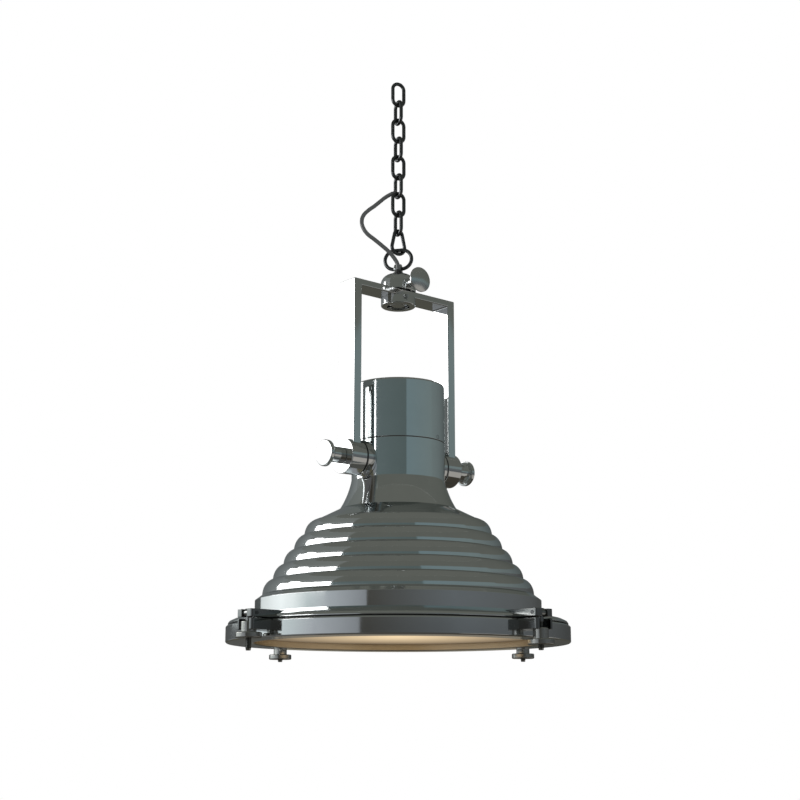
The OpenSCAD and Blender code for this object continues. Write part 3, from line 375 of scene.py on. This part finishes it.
rim_lugs = lugs(inner=213.3, slot=10.6, slot_end=254.5, low=flange_low, tall=10)
rim_plating = plating("rim_plating", CHROME, polish=0.06)
# The lugs and swing bolts take a plating tint far darker than the shade's.
DIM_PLATE_TINT = (0.30, 0.305, 0.30)
lug_plating = plating("lug_plating", DIM_PLATE_TINT, polish=0.10)
piece("rim_flange_ring", rim, rim_plating, "cast_aluminium", "head", "rim_flange")
piece("rim_hinge_lugs", rim_lugs, lug_plating, "cast_aluminium", "head")

# Gasket
# A flat ring of black rubber, pressed between the rim flange and the bezel, a little short of both.
bezel_z, gasket_in, gasket_out = -820.7, 205.6, 234.0
seal = turned(sleeve(gasket_in, gasket_out, bezel_z, flange_low), 0.5, wide_steps)
piece("rim_gasket", seal, rubber, "black_rubber", "head", "gasket")

# Bezel and slotted lugs
# A plated ring casting that carries the glass on an inner ledge. Four slotted lugs take the bolts,
# so that the bezel drops off once the nuts are slackened and the bolts swung out.
bezel_low, bezel_r, lens_z, lens_r, bevel = -843.7, 240.0, -833.7, 201.0, 1.5
ledge_r, groove_in, groove_out = 208.0, 212.0, 230.0
bezel = turned([(lens_r, bezel_low + 1), (lens_r + 1, bezel_low), (bezel_r - bevel, bezel_low),
                (bezel_r, bezel_low + bevel), (bezel_r, bezel_z - bevel), (bezel_r - bevel, bezel_z),
                (groove_out, bezel_z), (groove_out, lens_z), (groove_in, lens_z), (groove_in, bezel_z),
                (ledge_r, bezel_z), (ledge_r, lens_z), (lens_r, lens_z)], 0.5, wide_steps)
bezel_lugs = lugs(inner=234.0, slot=21.4, slot_end=251.3, low=bezel_z - 14.1, tall=14)
# Painted reflection: the bezel's bore is tinted warm beige to stand for the glass's glow mirrored in it, on
# rougher metal.
WARM_REFLECTION_TINT = (0.76, 0.66, 0.50)
bezel_plating = plating("bezel_plating", CHROME, polish=0.06, bore=((lens_r + 0.6) / 1000, WARM_REFLECTION_TINT))
piece("bezel_casting", bezel, bezel_plating, "cast_aluminium", "head", "bezel_ring")
piece("bezel_clamp_lugs", bezel_lugs, lug_plating, "cast_aluminium", "head")

# Glass and its retaining ring
# A disc of toughened glass, sandblasted on its outer face, that lies on the bezel's ledge. A steel
# ring above it holds it down.
glass_r, glass_t = 207.0, 5.0
glass_rings = (0, 80, 160, glass_r)
lens = turned([*[(r, lens_z) for r in glass_rings],
               *[(r, lens_z + glass_t) for r in reversed(glass_rings)]], 0.8)
make = Finish("frosted_glass")
spot = make.node("TexCoord", out="Object")
x, y, z = make.node("SeparateXYZ", None, {0: spot}, (0, 1, 2))
reach = (x * x + y * y) ** 0.5 * (1000 / glass_r)
frost = make.node("TexNoise", None, {"Vector": spot, "Scale": 1800.0, "Detail": 3.0})
cloud = make.node("TexNoise", None, {"Vector": spot, "Scale": 9.0, "Detail": 2.0})
# Painted light: the glass glows by its own emission, warm and brightest at its centre and fading to its edge,
# in place of light from the bulb; the warm beige of its base colour is painted glow as well, over the frosted
# grain.
painted_glow = make.node("Mix", {"data_type": "RGBA"}, {0: reach * 0.95 + cloud * 0.1, 6: (0.95, 0.73, 0.45, 1),
                                                7: (0.05, 0.03, 0.014, 1)}, 2)
frost_and_painted_warmth = make.node("Mix", {"data_type": "RGBA"}, {0: frost * 0.6 + cloud * 0.4, 6: (0.20, 0.16, 0.105, 1),
                                                 7: (0.23, 0.18, 0.12, 1)}, 2)
rise = make.node("Bump", None, {"Strength": 0.25, "Distance": 0.0002, "Height": frost})
shader = make.node("BsdfPrincipled", None, {
    "Base Color": frost_and_painted_warmth, "Roughness": 0.42 + 0.16 * frost, "Transmission Weight": 0.15, "IOR": 1.5,
    "Emission Color": painted_glow, "Emission Strength": 0.9, "Normal": rise})
frosted_glass = make.node("OutputMaterial", None, {"Surface": shader}, None)
piece("frosted_lens", lens, frosted_glass, "frosted_glass", "head", "glass_lens")
dress(dark_steel, "lens_retainer")

# Swing bolts and clamp nuts
# Turned and plated steel: each bolt has a flat eye on a pin in the rim's lug and a threaded shank
# that hangs through the bezel's slot, with a disc nut below. One nut is run up, three hang slack.
hinge_z, circle_r, bolt_low = -813.9, 262.0, -860.9
pin_r, eye_r, eye_half = 2.55, 6.0, 5.0
shank_r, thread_deep, thread_step, shank_top, thread_top = 4.0, 0.55, 0.625, hinge_z - 4.5, hinge_z - 11.4
nut_r, nut_disc, nut_sleeve, nut_tall, nut_bore = 17.0, 7.5, 10.0, 21.5, 4.01
NUT = (0.55, 0.54, 0.51)
NUT_LOW = {1: -845.3, 2: -854.3, 3: -856.3, 4: -857.3}
thread = [(shank_r - thread_deep * (k % 2), thread_top - thread_step * k) for k in range(54)]
for station, t in STATIONS.items():
    eye = turned(sleeve(pin_r, eye_r, -eye_half, eye_half), 0.5, 40)
    moved(eye, Matrix.Rotation(math.pi / 2, 4, "X"))
    moved(eye, Matrix.Translation((0, 0, hinge_z / 1000)))
    shank = turned([(0, shank_top), (shank_r, shank_top), *thread, (shank_r - 0.8, bolt_low + 0.3),
                    (shank_r - 1.2, bolt_low), (0, bolt_low)], 0.0, 32)
    place = Matrix.Rotation(math.radians(t), 4, "Z") @ Matrix.Translation((circle_r / 1000, 0, 0))
    bolt_steel = plating(f"bolt_plating_{station}", DIM_PLATE_TINT, tuple(place.translation), polish=0.12)
    piece(f"swing_bolt_{station}_body", moved(joined(eye, shank), place), bolt_steel, "chrome",
          f"bolt_{station}", f"swing_bolt_{station}")
    nut_low = NUT_LOW[station]
    nut_top = nut_low + nut_tall
    disc_top = nut_low + nut_disc
    nut = turned([(nut_bore, nut_low), (nut_r - 1, nut_low), (nut_r, nut_low + 1), (nut_r, disc_top - 1),
                  (nut_r - 1, disc_top), (nut_sleeve, disc_top), (nut_sleeve, nut_top - 1),
                  (nut_sleeve - 1, nut_top), (nut_bore, nut_top)], 0.4, 64)
    nut_steel = plating(f"nut_plating_{station}", NUT, tuple(place.translation), polish=0.14)
    piece(f"clamp_nut_{station}_body", moved(nut, place), nut_steel, "chrome", f"nut_{station}",
          f"clamp_nut_{station}")
dress(dark_steel, "hinge_pins")

# Lamp inside the neck
# A porcelain lampholder hangs from a steel strip on brass screws, with a screw-cap opal bulb in it.
# A porcelain terminal block and rubber-covered wiring sit above the strip.
porcelain = speckled("porcelain", (0.72, 0.70, 0.65), 0.24, 0.0, 300.0, 0.08, 0.4)
brass = speckled("brass", (0.46, 0.31, 0.12), 0.32, 1.0)
opal = speckled("opal_glass", (0.82, 0.78, 0.68), 0.3, 0.0, 500.0, 0.05, 0.3)
dress(dark_steel, "holder_bracket")
dress(porcelain, "lampholder", "terminal_block")
dress(brass, "bulb_cap", "bracket_screws")
dress(opal, "bulb_glass")
dress(rubber, "lamp_wiring")

# Tilt pivots
# On each side a plated boss saddles the neck, a hollow bolt runs out through a friction washer and
# the yoke's eye, and a turned knob with a disc end pulls the stack tight.
pivot_z, boss_r, boss_in, boss_out, boss_bore, saddle_sink = -588.0, 25.0, 58.0, 74.1, 7.02, 0.5
knob_in, cove_at, disc_at, knob_end, knob_depth = 102.2, 121.2, 129.0, 134.7, 124.6
knob_bore, grip_r, disc_r, dish_r = 7.2, 11.5, 18.5, 10.0
bend = [math.radians(a) for a in range(0, 91, 10)]
cove = [(grip_r + 6.4 * (1 - math.cos(a)), cove_at + 7 * math.sin(a)) for a in bend]
for side, word in ((-1, "left"), (1, "right")):
    stand = spun_about((side, 0, 0), (0, 0, pivot_z))
    pivot_plating = plating(f"pivot_plating_{word}", CHROME, (0, 0, pivot_z / 1000), (0, math.pi / 2, 0),
                            0.045)
    boss = moved(turned(sleeve(boss_bore, boss_r, boss_in, boss_out), 1.0, 96), stand)
    for corner in boss.verts:
        saddle = (math.sqrt(neck_r ** 2 - (1000 * corner.co.y) ** 2) - saddle_sink) / 1000
        if abs(corner.co.x) < saddle:
            corner.co.x = side * saddle
    piece(f"pivot_boss_{word}_body", boss, pivot_plating, "chrome", "head", f"pivot_boss_{word}")
    knob = turned([(knob_bore, knob_in), (grip_r - 1, knob_in), (grip_r, knob_in + 1), *cove,
                   (disc_r, disc_at), (disc_r, knob_end - 1.8), (disc_r - 0.6, knob_end - 1),
                   (disc_r - 1.6, knob_end - 0.6), (dish_r, knob_end - 0.15), (0, knob_end),
                   (0, knob_depth), (knob_bore, knob_depth)], 0.3, 96)
    piece(f"tilt_knob_{word}_body", moved(knob, stand), pivot_plating, "chrome", f"knob_{word}",
          f"tilt_knob_{word}")
    dress(pivot_plating, f"pivot_bolt_{word}")
    dress(dark_steel, f"pivot_washer_{word}")

# Yoke, ferrule and collar
# The yoke is rectangular steel tube, mitred, welded and plated, with a turned eye at each leg's end.
# A ferrule under its bar hides the spindle nut, and a collar above it takes the lock screw's point.
yoke_z, bar_low, leg_out, leg_in, deep = -330.7, -340.3, 95.5, 82.3, 36.0
eye_bore, eye_in, eye_out = 7.1, 75.9, 101.9
bow_plan = [(-leg_out, pivot_z), (-leg_out, yoke_z), (leg_out, yoke_z), (leg_out, pivot_z),
            (leg_in, pivot_z), (leg_in, bar_low), (-leg_in, bar_low), (-leg_in, pivot_z)]
bow = eased(raised([(x, -deep / 2, z) for x, z in bow_plan], (0, deep, 0)), 1.5)
eyes = [moved(turned(sleeve(eye_bore, boss_r, eye_in, eye_out), 1.2, 96),
              spun_about((side, 0, 0), (0, 0, pivot_z))) for side in (-1, 1)]
eye_plating = plating("eye_plating", CHROME, (0, 0, pivot_z / 1000), (0, math.pi / 2, 0))
piece("yoke_bow", bow, plating("drawn_plating", CHROME, drawn=True), "chrome", "yoke_frame", "yoke")
piece("yoke_eyes", joined(*eyes), eye_plating, "chrome", "yoke_frame")
ferrule_in, ferrule_r, ferrule_edge, ferrule_low = 16.5, 25.5, 1.2, bar_low - 13
ferrule = turned([(ferrule_in, ferrule_low), (ferrule_r - ferrule_edge, ferrule_low),
                  (ferrule_r, ferrule_low + ferrule_edge), (ferrule_r, bar_low), (ferrule_in, bar_low)],
                 0.5, 96)
hub_plating = plating("hub_plating", CHROME)
piece("ferrule_ring", ferrule, hub_plating, "chrome", "yoke_frame", "ferrule")
dress(hub_plating, "swivel_collar")
dress(rubber, "yoke_wiring")

# Swivel stem, hub and lock screw
# A turned steel stem hangs from the ring by its eye and carries the yoke on a nut. A cast domed hub
# covers the joint, with a lock screw in its side and a rubber gland in its shoulder.
eye_z, ring_turn, stem_bore, stem_eye_r, stem_eye_half = -294.6, math.radians(-55), 3.1, 7.2, 5.2
spindle_low, spindle_r, spindle_edge, spindle_top = -351.6, 10.5, 0.8, -307.3
stem_r, stem_top = 9.0, -300.0
ring_way = Vector((math.cos(ring_turn), math.sin(ring_turn), 0))
stem_eye = moved(turned(sleeve(stem_bore, stem_eye_r, -stem_eye_half, stem_eye_half), 1.0, 48),
                 spun_about(ring_way, (0, 0, eye_z)))
stem_pin = turned([(0, spindle_low), (spindle_r - spindle_edge, spindle_low),
                   (spindle_r, spindle_low + spindle_edge), (spindle_r, spindle_top),
                   (stem_r, spindle_top + 0.1), (stem_r, stem_top - 2.4), (stem_r - 0.8, stem_top - 1),
                   (stem_r - 2.5, stem_top - 0.4), (0, stem_top)], 0.3, 64)
piece("swivel_stem_body", joined(stem_eye, stem_pin), hub_plating, "chrome", "stem", "swivel_stem")
dress(hub_plating, "stem_nut")
dome_low, dome_top, dome_skirt = -330.4, -304.2, 11.2
dome_r, dome_bend, dome_wall, dome_bore = 26.0, 15.0, 3.0, 9.05
shoulder = [math.radians(a) for a in range(0, 91, 6)]


def dome_bow(radius):
    """Points of the dome's shoulder, from its skirt up."""
    return [(dome_r - dome_bend + radius * math.cos(a), dome_low + dome_skirt + radius * math.sin(a))
            for a in shoulder]


dome = turned([(dome_r, dome_low), *dome_bow(dome_bend), (dome_bore, dome_top),
               (dome_bore, dome_top - dome_wall), *reversed(dome_bow(dome_bend - dome_wall)),
               (dome_r - dome_wall, dome_low)], 0.4, 96)
lock_z, lock_pin, lock_tip, lock_collar = -322.7, 4.5, 18.3, 29.3
lock_way = spun_about((0, -1, 0), (0, 0, lock_z))
lock_boss = moved(turned(sleeve(4.6, 7.5, 22.5, 29.0), 0.5, 48), lock_way)
piece("hub_dome_shell", joined(dome, lock_boss), hub_plating, "chrome", "stem", "hub_dome")
ridge_r, ridge_low, ridge_at, ridge_pitch = 7.0, 6.2, 30.3, 3.6
lock_disc, crown_top, crown_fall = 47.3, 55.3, 68
ridge = ((ridge_r, 0), (ridge_r, 2.3), (ridge_low, 2.5), (ridge_low, 3.4))
ridges = [(r, ridge_at + ridge_pitch * k + h) for k in range(4) for r, h in ridge]
last_ridge = [(r, ridge_at + ridge_pitch * 4 + h) for r, h in ridge[:2]]
crown = [(r, crown_top - r * r / crown_fall) for r in range(18, 0, -2)]
lock = turned([(0, lock_tip), (lock_pin - 0.5, lock_tip), (lock_pin, lock_tip + 0.6), (lock_pin, lock_collar),
               (ridge_r - 0.6, lock_collar), *ridges, *last_ridge, (ridge_r, lock_disc),
               (disc_r - 1.2, lock_disc), (disc_r, lock_disc + 1.2), (disc_r, lock_disc + 2.5),
               (disc_r - 0.2, lock_disc + 3), *crown, (0, crown_top)], 0.2, 96)
lock_plating = plating("lock_plating", CHROME, (0, 0, lock_z / 1000), (math.pi / 2, 0, 0), 0.2)
piece("lock_screw_body", moved(lock, lock_way), lock_plating, "chrome", "lock", "lock_screw")
gland_at, gland_bore, gland_low, gland_top = (-10.606, -12.64, -310.2), 3.05, -5, 9
gland = turned([(gland_bore, gland_low), (4.2, gland_low), (4.2, 0), (5.5, 0), (5.5, 1.6), (5.0, 2.2),
                (5.2, 3.4), (4.5, 4.0), (4.75, 5.2), (4.1, 5.8), (4.3, 7), (3.9, gland_top),
                (gland_bore, gland_top)], 0.2, 40)
gland_place = Matrix.Translation([c / 1000 for c in gland_at])
piece("gland_sleeve", moved(gland, gland_place), rubber, "black_rubber", "stem", "cord_gland")


# Chain, pear link and hanging ring
# Bent and welded steel wire, darkened by handling: eight oval links, each a quarter turn from the
# next, a pear-shaped connecting link, and an oblong ring in the stem's eye.
def wire_loop(top_r, low_r, reach, wire=5.4):
    """A closed wire loop in the XZ plane, hung from its upper arc's centre.

    Two arcs, and the legs that touch both.
    """
    lean = math.asin((low_r - top_r) / reach)
    form = bmesh.new()
    bmesh.ops.create_circle(form, cap_ends=False, segments=18, radius=wire / 2000)
    moved(form, Matrix.Translation((0, 0, top_r / 1000)) @ Matrix.Rotation(math.pi / 2, 4, "Y"))
    last = bmesh.ops.spin(form, geom=form.verts[:] + form.edges[:], cent=(0, 0, 0), axis=(0, 1, 0),
                          angle=math.pi / 2 - lean, steps=14)["geom_last"]
    leg = bmesh.ops.extrude_edge_only(form, edges=only(bmesh.types.BMEdge, last))["geom"]
    ends = only(bmesh.types.BMVert, leg)
    far = reach * math.cos(lean) / 1000
    bmesh.ops.translate(form, verts=ends, vec=(far * math.sin(lean), 0, -far * math.cos(lean)))
    rim_edges = [e for e in only(bmesh.types.BMEdge, leg) if all(v in ends for v in e.verts)]
    bmesh.ops.spin(form, geom=ends + rim_edges, cent=(0, 0, -reach / 1000), axis=(0, 1, 0),
                   angle=math.pi / 2 + lean, steps=16)
    bmesh.ops.mirror(form, geom=form.verts[:] + form.edges[:] + form.faces[:], matrix=Matrix.Identity(4),
                     merge_dist=1e-6, axis="X")
    bmesh.ops.remove_doubles(form, verts=form.verts[:], dist=1e-6)
    bmesh.ops.recalc_face_normals(form, faces=form.faces[:])
    return form


def hung(top, upper_r):
    """The place of a loop whose upper arc tops out at a height."""
    return Matrix.Translation((0, 0, (top - upper_r) / 1000))


lie = math.radians(-12.5)
link_r, link_reach, link_pitch, chain_top = 9.4, 16.6, 29.7, 2.7
chain_steel = speckled("chain_steel", (0.15, 0.155, 0.16), 0.32, 1.0, 900.0, 0.35)
for i in range(1, 9):
    link_place = hung(chain_top - link_pitch * (i - 1), link_r)
    link_turn = Matrix.Rotation(lie if i % 2 else lie + math.pi / 2, 4, "Z")
    link = moved(wire_loop(link_r, link_r, link_reach), link_place @ link_turn)
    piece(f"chain_link_{i}_wire", link, chain_steel, "chain_steel", f"link_{i}", f"chain_link_{i}")
pear_top, pear_r, pear_low_r, pear_reach = -234.9, 6.5, 10.5, 19.0
pear = moved(wire_loop(pear_r, pear_low_r, pear_reach), hung(pear_top, pear_r) @ Matrix.Rotation(lie, 4, "Z"))
piece("pear_link_wire", pear, chain_steel, "chain_steel", "pear", "pear_link")
ring_top, ring_r, ring_reach = -265.2, 14.7, 11.2
ring_place = (hung(ring_top, ring_r) @ Matrix.Rotation(ring_turn, 4, "Z")
              @ Matrix.Rotation(math.pi / 2, 4, "Y") @ Matrix.Translation((0, 0, ring_reach / 2000)))
hanging = moved(wire_loop(ring_r, ring_r, ring_reach), ring_place)
piece("hanging_ring_wire", hanging, chain_steel, "chain_steel", "ring", "hanging_ring")

# Flex
# A round grey flex of three cores in a smooth sheath. It rises from the gland, bows out to one side
# of the chain and ends bare beside it, with its cores showing.
route = [(-10.606, -12.64, -315.2), (-10.606, -12.64, -306.2), (-10.606, -12.64, -298.2),
         (-11.606, -11.64, -291.2), (-14.606, -8.64, -283.2), (-20.606, -3.64, -273.2),
         (-28.606, 3.36, -263.2), (-36.606, 11.36, -253.2), (-44.606, 18.36, -244.2),
         (-48.606, 23.36, -234.2), (-49.606, 25.36, -224.2), (-46.606, 25.36, -214.2),
         (-39.606, 22.36, -205.2), (-30.606, 19.36, -197.2), (-22.606, 16.36, -189.2),
         (-14.606, 12.36, -181.2), (-5.606, 6.36, -174.2)]
line = bpy.data.curves.new("flex_sheath", "CURVE")
line.dimensions = "3D"
line.bevel_depth = 0.003
line.bevel_resolution = 5
line.resolution_u = 10
line.use_fill_caps = True
run = line.splines.new("BEZIER")
run.bezier_points.add(len(route) - 1)
for knot, point in zip(run.bezier_points, route):
    knot.co = Vector(point) / 1000
    knot.handle_left_type = knot.handle_right_type = "AUTO"
sheath = speckled("flex_sheath", (0.085, 0.09, 0.09), 0.38, 0.0, 1200.0, 0.15, 0.2)
line.materials.append(sheath)
flex = bpy.data.objects.new("flex_sheath", line)
bpy.context.scene.collection.objects.link(flex)
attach(flex, "stem")
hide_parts("flex_cord")
tip = Vector(route[-1])
way = (tip - Vector(route[-2])).normalized()
side = way.cross(Vector((0, 0, 1))).normalized()
over = side.cross(way)
core_r, core_spread, core_long = 0.9, 1.4, 7
cores = []
for k in range(3):
    a = math.radians(120 * k + 90)
    core = turned([(0, 0), (core_r, 0), (core_r, core_long - 0.7 - k), (core_r - 0.4, core_long - k),
                   (0, core_long - k)], 0.0, 12)
    cores.append(moved(core, spun_about(way, tip + core_spread * (math.cos(a) * side + math.sin(a) * over))))
core_wire = speckled("core_wire", (0.10, 0.10, 0.10), 0.4, 0.0)
cores = piece("flex_core_ends", joined(*cores), core_wire, "flex_sheath", "stem", "flex_cores")

# Studio
# A pale floor far below, soft white light from all round, and cards that only polished metal shows:
# a bright window to the left with pale cards under it, and grey walls, floors and a ceiling beyond.
scene = bpy.context.scene
scene.cycles.glossy_bounces = 12
scene.view_settings.view_transform = "Standard"


def show_white(make):
    """How much of a ray sees the plain white surround: camera, mirror and glass rays do."""
    kinds = ("Is Camera Ray", "Is Glossy Ray", "Is Transmission Ray")
    camera, glossy, glass = make.node("LightPath", None, None, kinds)
    return make.node("Math", {"operation": "MINIMUM"}, {0: camera + glossy + glass, 1: 1.0})


sky = bpy.data.worlds.new("surround")
scene.world = sky
make = Finish("surround", sky)
white = show_white(make)
back = make.node("Background", None, {"Color": (1, 1, 1, 1), "Strength": 0.85 + 0.15 * white})
make.node("OutputWorld", None, {"Surface": back}, None)

floor_z, floor_half = -7.2, 14
ground = bmesh.new()
bmesh.ops.create_grid(ground, x_segments=1, y_segments=1, size=floor_half)
moved(ground, Matrix.Translation((0, 0, floor_z)))
mesh = bpy.data.meshes.new("pale_floor")
ground.to_mesh(mesh)
ground.free()
make = Finish("pale_floor")
white = show_white(make)
matt = make.node("BsdfDiffuse", None, {"Color": (0.8, 0.8, 0.8, 1)})
lit = make.node("Emission", None, {"Color": (1, 1, 1, 1)})
mixed = make.node("MixShader", None, {0: white, 1: matt, 2: lit})
mesh.materials.append(make.node("OutputMaterial", None, {"Surface": mixed}, None))
floor = bpy.data.objects.new("pale_floor", mesh)
scene.collection.objects.link(floor)


def staged(name, form, finish):
    """A part of the studio that only mirror-like surfaces see."""
    data = bpy.data.meshes.new(name)
    form.to_mesh(data)
    form.free()
    data.materials.append(finish)
    made = bpy.data.objects.new(name, data)
    scene.collection.objects.link(made)
    made.visible_camera = made.visible_diffuse = made.visible_transmission = made.visible_shadow = False


view_turn, card_level, card_far = 40, -0.62, 3.4
toward_camera = 270 - view_turn


def card(name, start, end, low, high, tint, far_tint=None, far=card_far):
    """A curved card round the lamp, by bearings in degrees from the camera, positive to its right.

    It reaches between two elevations, and its tint changes from one end to the other.
    """
    heights = [card_level + far * math.tan(math.radians(a)) for a in (low, high)]
    form = bmesh.new()
    form.edges.new([form.verts.new((far, 0, height)) for height in heights])
    moved(form, Matrix.Rotation(math.radians(toward_camera + start), 4, "Z"))
    bmesh.ops.spin(form, geom=form.verts[:] + form.edges[:], cent=(0, 0, 0), axis=(0, 0, 1),
                   angle=math.radians(end - start), steps=24)
    make = Finish(name)
    spot = make.node("TexCoord", out="Object")
    middle = math.radians(toward_camera + (start + end) / 2)
    own = make.node("Mapping", None, {"Vector": spot, "Rotation": (0, 0, -middle)})
    round_way = make.node("TexGradient", {"gradient_type": "RADIAL"}, {"Vector": own}, 1)
    share = (round_way - 0.5) * (360 / (end - start)) + 0.5
    tone = make.node("Mix", {"data_type": "RGBA"}, {0: share, 6: (*tint, 1), 7: (*(far_tint or tint), 1)}, 2)
    light = make.node("Emission", None, {"Color": tone})
    staged(name, form, make.node("OutputMaterial", None, {"Surface": light}, None))


WINDOW, WINDOW_LOW = (5, 5, 5), (1.4, 1.4, 1.4)
WALL, HIGH, NEAR_FLOOR = (0.20, 0.215, 0.21), (0.122, 0.130, 0.116), (0.05, 0.045, 0.036)
FRONT, RIGHT, BACK = (0.066, 0.065, 0.058), (0.132, 0.148, 0.158), (0.09, 0.09, 0.085)
near_line, floor_line, skirting, sill, rib_line, window_line = -62, -25, -7, 0.4, 2.7, 8
wall_line, window_top, right_line, window_peak, lintel, ceiling_line = 17, 18.5, 19.5, 22.5, 29, 46
for name, start, end, low, high, *tints in (
        ("window", -120, -57, window_line, window_top, WINDOW),
        ("window_low", -120, -57, rib_line, window_line, WINDOW_LOW),
        ("window_top", -107, -93, window_top, window_peak, WINDOW),
        ("band_back_left", -180, -138, sill, rib_line, (0.10, 0.10, 0.10), (0.12, 0.13, 0.13)),
        ("band_far_left", -138, -104, sill, rib_line, (0.95, 1.0, 1.0), (1.06, 1.13, 1.13)),
        ("band_left", -104, -88, sill, rib_line, (1.10, 1.17, 1.17), (0.95, 1.02, 1.02)),
        ("band_left_mid", -88, -72, sill, rib_line, (0.95, 1.02, 1.02), (0.54, 0.62, 0.63)),
        ("band_left_near", -72, -55, sill, rib_line, (0.54, 0.62, 0.63), (0.44, 0.48, 0.51)),
        ("band_near_left", -55, -23.5, sill, rib_line, (0.43, 0.47, 0.50), (0.25, 0.27, 0.29)),
        ("band_front", -23.5, 42, sill, rib_line, FRONT, RIGHT),
        ("band_right", 42, 180, sill, rib_line, RIGHT, BACK),
        ("bezel_back_left", -180, -120, skirting, sill, (0.10, 0.10, 0.10), (0.15, 0.16, 0.16)),
        ("bezel_left", -120, -72, skirting, sill, (0.88, 0.96, 0.98), (0.58, 0.65, 0.67)),
        ("bezel_left_near", -72, -55, skirting, sill, (0.58, 0.65, 0.67), (0.43, 0.46, 0.49)),
        ("bezel_near_left", -55, -23.5, skirting, sill, (0.42, 0.45, 0.48), (0.25, 0.27, 0.29)),
        ("bezel_front", -23.5, 42, skirting, sill, (0.054, 0.053, 0.048), (0.108, 0.121, 0.130)),
        ("bezel_right", 42, 180, skirting, sill, (0.108, 0.121, 0.130), (0.074, 0.074, 0.070)),
        ("front_wall", -57, 20, window_line, wall_line, (0.115, 0.150, 0.153), (0.095, 0.126, 0.126)),
        ("right_wall", 20, 90, window_line, right_line, (0.162, 0.224, 0.240), (0.172, 0.217, 0.217)),
        ("far_wall", 90, 180, window_line, wall_line, (0.165, 0.206, 0.206), (0.117, 0.130, 0.130)),
        ("near_left_ribs", -57, -23.5, rib_line, window_line, (0.45, 0.49, 0.52), (0.25, 0.27, 0.29)),
        ("front_ribs", -23.5, 42, rib_line, window_line, FRONT, RIGHT),
        ("right_ribs", 42, 180, rib_line, window_line, RIGHT, BACK),
        ("back_wall", -180, -120, rib_line, lintel, (0.17, 0.18, 0.18), (0.24, 0.26, 0.26)),
        ("window_head", -107, -93, window_peak, lintel, WALL),
        ("window_far", -120, -107, window_top, lintel, WALL),
        ("window_near", -93, -57, window_top, lintel, WALL),
        ("front_high", -57, 20, wall_line, ceiling_line, HIGH),
        ("right_high", 20, 90, right_line, ceiling_line, HIGH),
        ("far_high", 90, 180, wall_line, ceiling_line, HIGH),
        ("left_high", -180, -57, lintel, ceiling_line, (0.18, 0.195, 0.185)),
        ("floor_left", -150, -26, -14, skirting, (0.34, 0.35, 0.37)),
        ("floor_left_low", -150, -26, floor_line, -14, (0.13, 0.12, 0.085)),
        ("floor_front", -26, 40, floor_line, skirting, (0.10, 0.10, 0.09)),
        ("floor_right", 40, 130, -32, skirting, (0.38, 0.365, 0.34)),
        ("floor_back", 130, 210, floor_line, skirting, (0.10, 0.097, 0.08)),
        ("floor_near_left", -150, -26, near_line, floor_line, (0.12, 0.12, 0.12)),
        ("floor_near", -26, 40, near_line, floor_line, NEAR_FLOOR),
        ("floor_near_right", 40, 130, near_line, -32, NEAR_FLOOR),
        ("floor_near_back", 130, 210, near_line, floor_line, NEAR_FLOOR)):
    card(name, start, end, low, high, *tints)
card("lip_glow", 172, 188, -9, -4, (0.27, 0.24, 0.19), far=3.3)
for name, height, tint in (("ceiling", 2.9, (0.13, 0.137, 0.122)), ("underlay", -7.0, (0.07, 0.066, 0.058))):
    plate = bmesh.new()
    bmesh.ops.create_circle(plate, cap_ends=True, segments=48, radius=card_far)
    moved(plate, Matrix.Translation((0, 0, height)))
    make = Finish(name)
    light = make.node("Emission", None, {"Color": (*tint, 1)})
    staged(name, plate, make.node("OutputMaterial", None, {"Surface": light}, None))

# Camera
# It stands a little below the bezel, looks up by about thirteen degrees, and sees the tilt axis turned
# forty degrees from the picture.
yaw, pitch, bearing = math.radians(0.075), math.radians(12.92), math.radians(view_turn)
lens_data = bpy.data.cameras.new("viewpoint")
lens_data.sensor_width = 36
lens_data.lens = 62.46
lens_data.clip_end = 60
viewpoint = bpy.data.objects.new("viewpoint", lens_data)
scene.collection.objects.link(viewpoint)
ahead = Vector((math.sin(bearing), math.cos(bearing), 0))
right = Vector((math.cos(bearing), -math.sin(bearing), 0))
level_way = ahead * math.cos(yaw) + right * math.sin(yaw)
look = level_way * math.cos(pitch) + Vector((0, 0, math.sin(pitch)))
viewpoint.location = (-1.2637, -1.5060, -0.9448)
viewpoint.rotation_euler = look.to_track_quat("-Z", "Y").to_euler()
scene.camera = viewpoint
